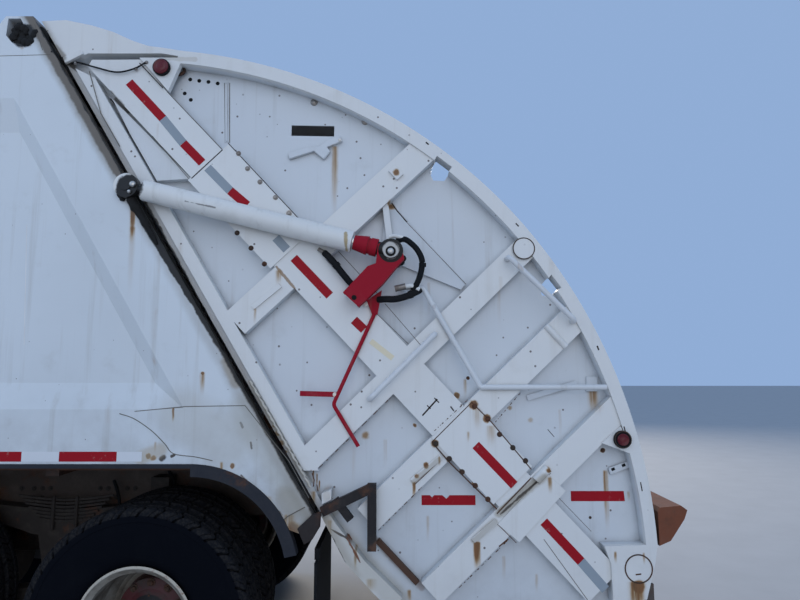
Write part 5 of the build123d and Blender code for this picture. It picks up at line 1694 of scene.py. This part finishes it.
    def brackets(self) -> None:
        """The bent bracket, the straps, the small plates and the lift pin on the side."""
        shape = Shape()
        bent = [(2862, 2730), (2871, 2700), (2992, 2740), (3042, 2698), (3074, 2738), (3058, 2760),
                (3132, 2792), (3120, 2821), (3066, 2801), (3021, 2766), (2960, 2758)]
        shape.prism(bent, self.plate, self.plate + 22, 3)
        shape.prism([(1869, 3156), (1884, 3194), (2128, 3196), (2269, 3026), (2322, 2970), (2060, 2952)],
                    self.rib - 6, self.rib + 0.2)
        for x in (2536, 2550):
            shape.tube([(x, self.plate + 3, 3105), (x + 11, self.plate + 3, 2790)], 3.2, 8)
        shape.strip((2541, 3100), (2553, 2795), 8, self.plate, self.plate + 4)
        shape.tube(smooth_path([(3368, 1216, 2284), (3392, 1222, 2290), (3425, 1228, 2282),
                                (3445, 1230, 2270)], 4), 10, 10)
        shape.tube(smooth_path([(3440, 1222, 2046), (3475, 1226, 2052), (3512, 1222, 2034)], 4), 10, 10)
        shape.prism([(1751, 3195), (1839, 3233), (1854, 3213), (1766, 3164)], 1188, 1204, 3)
        shape.strip((4024, 1527), (4264, 1598), 26, self.plate + 6, self.plate + 12)
        shape.prism([(4306, 1558), (4361, 1558), (4364, 1629), (4309, 1629)], self.plate, self.plate + 12, 3)
        shape.prism([(4406, 1172), (4497, 1206), (4489, 1235), (4396, 1203)], self.plate + 4,
                    self.plate + 14, 2)
        shape.both_sides().piece("tailgate_brackets", "tailgate", "paint_white", WHITE_SIDE, bevel=1.5)
        strap = Shape().strip((2954, 1551), (3129, 1546), 24, 1182, 1188)
        strap.both_sides().piece("lever_strap", "tailgate", "paint_red", RED_PAINT, bevel=1.5)
        bolts = Shape()
        for place in ((3118, 1188, 1546, 12), (3258, 1194, 1968, 11), (3120, self.plate + 22, 2795, 9)):
            bolts.bolt(*place)
        bolts.both_sides().piece("bracket_bolts", "tailgate", "steel_bare", NIPPLE)
        pin = Shape().turned((3377, 1290, 2204), OUTWARD, [(14, 0), (14, 6), (10, 9), (3, 10)], 20)
        pin.both_sides().piece("lift_pin_heads", "tailgate", "steel_bare", NIPPLE, smooth=50)
        well = Shape().turned((3377, 1289.6, 2204), OUTWARD, [(24, 0), (24, 0.9)], 24)
        for k, (x, z, size) in enumerate(((3330, 2222, 17), (3342, 2244, 13), (3362, 2256, 12),
                                          (3404, 2158, 20), (3424, 2166, 17), (3386, 2150, 16),
                                          (3436, 2182, 13), (3326, 2200, 11))):
            well.turned((x, 1216, z), (0.2, 1, 0.1 * k),
                        [(size, -6), (size * 1.1, 4), (size * 0.7, 14), (size * 0.2, 17)], 9)
        well.both_sides().piece("pin_grease", "tailgate", "rubber_black", GUNK, smooth=70)
        caulk = Shape()
        start, end = Vector((2722, 1193, 1608)), Vector((3012, 1193, 1128))
        steps = range(self.caulk_steps + 1)
        sway = [Vector((3 * math.sin(k * 2.1), 2 * math.sin(k * 1.3), 0)) for k in steps]
        lumps = [start.lerp(end, k / self.caulk_steps) + sway[k] for k in steps]
        caulk.tube(lumps, [6 + 3 * math.sin(k * 1.7) * math.sin(k * 0.61) for k in steps], 7)
        caulk.both_sides().piece("seam_caulk", "tailgate", "paint_white", CAULK, smooth=60)

    def seal(self) -> None:
        """Rubber that bulges out of the seam, black at both ends and brown between them."""
        start, end = Vector((1636, 1196, 3345)), Vector((3040, 1196, 1006))
        for name, finish, first, last in (("seam_seal_head", SEAL, 0, 10), ("seam_seal_top", SEAM, 9, 38),
                                          ("seam_seal_foot", SEAL, 37, self.seal_steps + 1)):
            points, radii = [], []
            for k in range(first, last):
                point = start.lerp(end, k / self.seal_steps)
                sway = math.sin(k * 1.9) * 2.2 + math.sin(k * 0.7 + 1) * 2.6
                points.append((point.x + sway * 0.8 - 3, point.y + 5 + math.sin(k * 2.3) * 4,
                               point.z + sway * 0.4))
                full = 13 if point.z > 3170 else 10 if 1900 < point.z < 2600 else 6
                radii.append(full * (1 + 0.35 * math.sin(k * 1.3)))
            rubber = Shape().tube(points, radii, 8).both_sides()
            rubber.piece(name, "truck", "rubber_black", finish, smooth=60)

    def build(self) -> None:
        """Makes every fitting."""
        self.bolts()
        self.marks()
        self.lines()
        self.brackets()
        self.seal()


@dataclass
class LampLenses:
    """Ribbed red lenses in the round tail lamps.

    Attributes:
        face: The gaskets' face, in millimetres from the middle.
    """

    face: float = 1206.0

    def build(self) -> None:
        """Adds a red lens in each lamp's gasket."""
        lens = Shape()
        shares = ((1.0, 0), (1.0, 4), (0.9, 7), (0.8, 6), (0.72, 8.5), (0.6, 7.5), (0.5, 9.5), (0.3, 9),
                  (0.1, 10.5))
        for x, z, size in ((2242, 3145, 37), (4443, 1342, 27)):
            lens.turned((x, self.face, z), OUTWARD,
                        [(size * share, height) for share, height in shares], 32)
        lens.both_sides().piece("tail_lamp_lenses", "tailgate", "lamp_red", LAMP_RED)


@dataclass
class ChassisTrim:
    """Bolt rows on the rails, spring leaves, their U-bolts and the air lines.

    Attributes:
        rail: The rails' face, in millimetres from the middle.
        leaves: Leaves in a spring.
    """

    rail: float = 430.0
    leaves: int = 7

    def build(self) -> None:
        """Makes the small parts of the underframe."""
        bolts = Shape()
        for x in (1231, 1303, 1350, 1397, 1685, 1732, 1779, 1842, 1889):
            bolts.bolt(x, self.rail, 979, 15)
        for x, z in ((1303, 926), (1349, 926), (1310, 881), (1735, 930), (1781, 932),
                     (1733, 881), (1784, 881)):
            bolts.bolt(x, self.rail, z, 15)
        for x in range(-4200, 1000, 640):
            bolts.bolt(x, self.rail, 1040, 13).bolt(x, self.rail, 880, 13)
        bolts.both_sides().piece("rail_bolts", "truck", "paint_frame", CAST_IRON)
        leaves = Shape()
        for k in range(self.leaves):
            half, z = 265 - 20 * k, 938 - 19 * k
            rise = 26 - 2 * k
            arc = [(1553 + half * t, z + rise * abs(t) ** 1.6) for t in (-1, -0.7, -0.4, 0, 0.4, 0.7, 1)]
            leaves.lines(((arc, 12, 541),), 11)
        for x in (1488, 1618):
            leaves.tube([(x, 552, 960), (x, 556, 780)], 11, 8)
        leaves.both_sides().piece("spring_leaves", "truck", "iron", CAST_IRON, bevel=1.5)
        hoses = Shape()
        for x, z, drop in ((2110, 1090, 150), (1800, 1030, 190), (950, 1080, 200)):
            route = [(x - 20, 470, z), (x + 14, 492, z - drop * 0.3), (x + 30, 498, z - drop * 0.65),
                     (x + 10, 480, z - drop)]
            hoses.tube(smooth_path(route), 9, 8)
        hoses.both_sides().piece("air_lines", "truck", "rubber_black", HOSE, smooth=60)


@dataclass
class CabTrim:
    """Rubber round the panes, handles, wipers, lamps, louvres, mirror glass and the grille's frame.

    Attributes:
        side: The doors' face, in millimetres from the middle.
        shoulder: Height above which the cab's side leans in.
        lean: How far it leans in over 700 mm.
        screen_foot: X and Z of the windscreen's foot.
        roof_lamps: Marker lamps on the roof.
        louvres: Louvres on each side of the hood.
    """

    side: float = 1000.0
    shoulder: float = 1950.0
    lean: float = 75.0
    screen_foot: Point = (-3210.0, 1975.0)
    roof_lamps: int = 5
    louvres: int = 6

    def side_face(self, z: float) -> float:
        """Distance of the cab's side from the middle at a height."""
        return self.side - max(0.0, z - self.shoulder) * self.lean / 700

    def screen_face(self, z: float) -> float:
        """X of the sloping windscreen at a height."""
        return self.screen_foot[0] + (z - self.screen_foot[1]) * 310 / 675

    def panes(self) -> None:
        """Rubber gaskets round the door panes and the windscreen, and two wipers."""
        corners = [(-3010, 1985), (-2780, 2515), (-2245, 2540), (-2245, 1985), (-3010, 1985)]
        for hand in Hand:
            name = hand.name.lower()
            around = [(x, hand.value * (self.side_face(z) + 1), z) for x, z in corners]
            gasket = Shape().edging(around, 9, 8)
            gasket.piece(f"door_gasket_{name}", f"door_{name}", "rubber_black", SEAL, smooth=60)
        corners = [(850, 2020), (790, 2590), (-790, 2590), (-850, 2020), (850, 2020)]
        around = [(self.screen_face(z) - 2, y, z) for y, z in corners]
        Shape().edging(around, 11, 8).piece("windscreen_gasket", "truck", "rubber_black", SEAL, smooth=60)
        wipers = Shape()
        for y in (-420, 180):
            foot = (-3226, y, 1985)
            wipers.tube([foot, (self.screen_face(2300) - 26, y + 260, 2300)], 6, 8)
            blade = [(self.screen_face(z) - 16, y + off, z) for off, z in ((90, 2120), (330, 2460))]
            wipers.tube(blade, 7, 6)
            wipers.turned(foot, (-0.8, 0, 0.5), [(22, -10), (22, 12), (14, 22)], 14)
        wipers.piece("wipers", "truck", "rubber_black", DARK_TRIM, smooth=50)

    def doors(self) -> None:
        """Door handles, mirror glass and the grab rails behind the doors."""
        rails = Shape()
        for hand in Hand:
            name = hand.name.lower()
            side = hand.value
            grip = Shape().slab((-2330, 1850), (-2210, 1880), side * self.side, side * (self.side + 18), 5)
            grip.piece(f"door_handle_{name}", f"door_{name}", "trim_grey", DARK_TRIM, bevel=2)
            glass = Shape().facing(side, (1142, 1755), (1288, 2165), (-3105, -3103))
            glass.piece(f"mirror_glass_{name}", f"door_{name}", "alloy", MIRROR)
            grab = ((998, 1320), (1045, 1345), (1045, 1855), (998, 1880))
            rails.tube([(-2050, side * y, z) for y, z in grab], 14, 12)
        rails.piece("cab_grab_rails", "truck", "alloy", ALLOY, smooth=50)

    def lamps(self) -> None:
        """Roof markers, headlamp bowls with their bezels, and amber indicators on the fenders."""
        markers, bowls, bezels, amber = Shape(), Shape(), Shape(), Shape()
        for k in range(self.roof_lamps):
            markers.turned((-2790, -520 + 260 * k, 2744), (-0.35, 0, 1),
                           [(42, 0), (40, 18), (28, 30), (8, 34)], 14)
        markers.piece("roof_marker_lamps", "truck", "lamp_red", LAMP_AMBER)
        forward = (-1, 0, 0)
        for side in (-1, 1):
            for y in (858, 1022):
                centre = (-4536, side * y, 1020)
                bowls.turned(centre, forward, [(66, 0), (66, 3), (58, 2), (30, 1), (8, 6), (2, 7)], 32)
                bezels.turned(centre, forward, [(78, 0), (78, 6), (70, 9), (67, 3)], 32)
            amber.facing(side, (1130, 950), (1175, 1090), (-4524, -4532))
        bowls.piece("headlamp_bowls", "hood", "alloy", MIRROR, smooth=50)
        bezels.piece("headlamp_bezels", "hood", "alloy", ALLOY, smooth=50)
        amber.piece("indicators", "hood", "lamp_red", LAMP_AMBER)

    def hood(self) -> None:
        """Frame round the grille, rubber latches and louvres on the hood's sides."""
        mouth = [(-380, 1000), (-400, 1560), (400, 1560), (380, 1000), (-380, 1000)]
        around = [(-4602 + (z - 1050) * 40 / 590, y, z) for y, z in mouth]
        Shape().edging(around, 13, 10).piece("grille_frame", "hood", "alloy", ALLOY, smooth=50)
        louvres, latches = Shape(), Shape()
        for side in (-1, 1):
            for k in range(self.louvres):
                x = -4040 + 46 * k
                y = 500 + (x + 4610) * 190 / 1275
                louvres.slab((x, 1270), (x + 18, 1440), side * (y - 2), side * (y + 9), 3)
            strap = ((694, 1290), (700, 1330), (694, 1375))
            latches.tube([(-3372, side * y, z) for y, z in strap], 14, 10)
        louvres.piece("hood_louvres", "hood", "hood_white", WHITE_CAB, bevel=2)
        latches.piece("hood_latches", "hood", "rubber_black", HOSE, smooth=60)

    def chassis(self) -> None:
        """Filler cap of the fuel tank and clamps on the exhaust."""
        cap = Shape().turned((-2480, -985, 915), (0, -1, 1),
                             [(48, -6), (48, 16), (52, 18), (52, 40), (44, 46), (10, 48)], 28)
        cap.piece("tank_cap", "truck", "alloy", BOLT, smooth=50)
        clamps = Shape()
        for z, radius in ((1330, 113), (1820, 113), (2320, 113), (2420, 58)):
            band = [(radius, 0), (radius + 3, 2), (radius + 3, 28), (radius, 30)]
            clamps.turned((-1665, 760, z), (0, 0, 1), band, 32)
        clamps.piece("exhaust_clamps", "truck", "steel_bare", BOLT, smooth=50)

    def build(self) -> None:
        """Makes each kind of trim."""
        self.panes()
        self.doors()
        self.lamps()
        self.hood()
        self.chassis()


@dataclass
class NodeFinishes:
    """Which finish each carried-over node gets.

    Attributes:
        table: Finishes by the record's material slots.
        pairs: Finishes of the nodes that end in left or right; they come before the table.
        single: Finishes of other nodes, which come before it too.
    """

    table: dict = field(default_factory=lambda: {
        "paint_white": WHITE, "paint_frame": FRAME_STEEL, "paint_red": RED_PAINT, "paint_brown": BROWN_STEEL,
        "iron": CAST_IRON, "hood_white": WHITE_CAB, "steel_bare": BUMPER, "chrome_rod": CHROME,
        "alloy": ALLOY, "tyre_rubber": TYRE, "rubber_black": HOSE, "window_glass": WINDOW, "lamp_red": HOSE,
        "lamp_clear": LAMP_WHITE, "trim_grey": DASH})
    pairs: dict = field(default_factory=lambda: {
        "door": WHITE_CAB, "body_side": WHITE_BODY, "tailgate_side": WHITE_SIDE, "front_rim": RIM_FRONT,
        "mid_rims": RIM_MID, "rear_rims": RIM_REAR})
    single: dict = field(default_factory=lambda: {
        "cab_shell": WHITE_CAB, "hood": WHITE_CAB, "body_front": WHITE, "body_roof": WHITE_ROOF,
        "tailgate_cover": WHITE_ROOF, "lift_barrels": WHITE_BARREL, "sweep_barrels": FRAME_STEEL,
        "riding_steps": STEP_STEEL, "latch_frames": BLACK_STEEL, "arch_flanges": ARCH_STEEL,
        "loading_sill": SILL_STEEL, "fuel_tank": ALLOY, "lift_rods": LIFT_ROD, "body_floor": FLOOR_STEEL})

    def build(self) -> None:
        """Gives each carried-over node its finish."""
        slots = {part["node"]: part["material_slot"] for part in frame["record"]["subparts"]}
        for node, item in frame["nodes"].items():
            pair = node.removesuffix("_left").removesuffix("_right")
            finish = self.pairs.get(pair) or self.single.get(node) or self.table[slots[node]]
            item.data.materials.clear()
            item.data.materials.append(finish.material())


@dataclass
class Studio:
    """Floor, soft light and the photograph's camera. Lengths are in metres.

    Attributes:
        eye: The camera's place.
        pitch: How far it looks up, in degrees.
        focal_px: Its focal length in the photograph's pixels.
        image_width: The photograph's width in pixels.
        sensor: The camera's sensor width, in millimetres.
        sight: How far it sees.
        floor_half: Half the floor's width.
        sky: The sky's colour.
        sky_strength: How bright it is.
    """

    eye: tuple[float, float, float] = (3.42, -4.03, 1.66)
    pitch: float = 6.6
    focal_px: float = 604.0
    image_width: float = 800.0
    sensor: float = 36.0
    sight: float = 300.0
    floor_half: float = 60.0
    sky: Colour = (0.37, 0.55, 0.88)
    sky_strength: float = 0.76

    def build(self) -> None:
        """Makes the stage and sets the scene's camera."""
        data = bpy.data.meshes.new("floor")
        corners = ((-1, -1), (1, -1), (1, 1), (-1, 1))
        data.from_pydata([(x * self.floor_half, y * self.floor_half, -0.001) for x, y in corners], [],
                         [(0, 1, 2, 3)])
        floor = bpy.data.objects.new("floor", data)
        bpy.context.scene.collection.objects.link(floor)
        graph = Graph("floor_grey")
        shade = graph.mix(graph.noise(2.5, 4, 0.6), (0.42, 0.41, 0.4), (0.5, 0.49, 0.48))
        data.materials.append(graph.surface(Base_Color=shade, Roughness=0.9))
        world = bpy.data.worlds.new("sky")
        bpy.context.scene.world = world
        world.use_nodes = True
        back = world.node_tree.nodes["Background"]
        back.inputs[0].default_value = (*self.sky, 1)
        back.inputs[1].default_value = self.sky_strength
        for name, place, aim, size, power, tint in (
                ("key", (7, -15, 10), (1, 0, 1.5), 12, 315, (1.0, 0.98, 0.95)),
                ("sky_fill", (-9, -8, 8), (0, 0, 1.5), 10, 190, (0.85, 0.93, 1.0)),
                ("ground_bounce", (3, -10, 0.6), (2.6, -1, 1.8), 9, 190, (1.0, 0.95, 0.87)),
                ("rim", (4, 12, 9), (1, 0, 2), 6, 1150, (1.0, 0.93, 0.82))):
            lamp = bpy.data.lights.new(name, "AREA")
            lamp.size, lamp.energy, lamp.color = size, power, tint
            holder = bpy.data.objects.new(name, lamp)
            holder.location = place
            holder.rotation_euler = (Vector(aim) - Vector(place)).to_track_quat("-Z", "Y").to_euler()
            bpy.context.scene.collection.objects.link(holder)
        lens = bpy.data.cameras.new("photo_camera")
        lens.sensor_width = self.sensor
        lens.lens = self.focal_px / self.image_width * self.sensor
        lens.clip_end = self.sight
        camera = bpy.data.objects.new("photo_camera", lens)
        camera.location = self.eye
        camera.rotation_euler = (math.radians(90 + self.pitch), 0, 0)
        bpy.context.scene.collection.objects.link(camera)
        bpy.context.scene.camera = camera
        bpy.context.scene.view_settings.view_transform = "Standard"


def main() -> None:
    logging.basicConfig(level=logging.INFO, format="%(name)s: %(message)s")
    for part in (Studio(), NodeFinishes(), Tyres(), WheelTrim(), TailgateTape(), BodyTape(), BodyFittings(),
                 TailgateFittings(), LampLenses(), ChassisTrim(), CabTrim()):
        part.build()
        LOG.info("built %s", type(part).__name__)


if __name__ == "__main__":
    main()
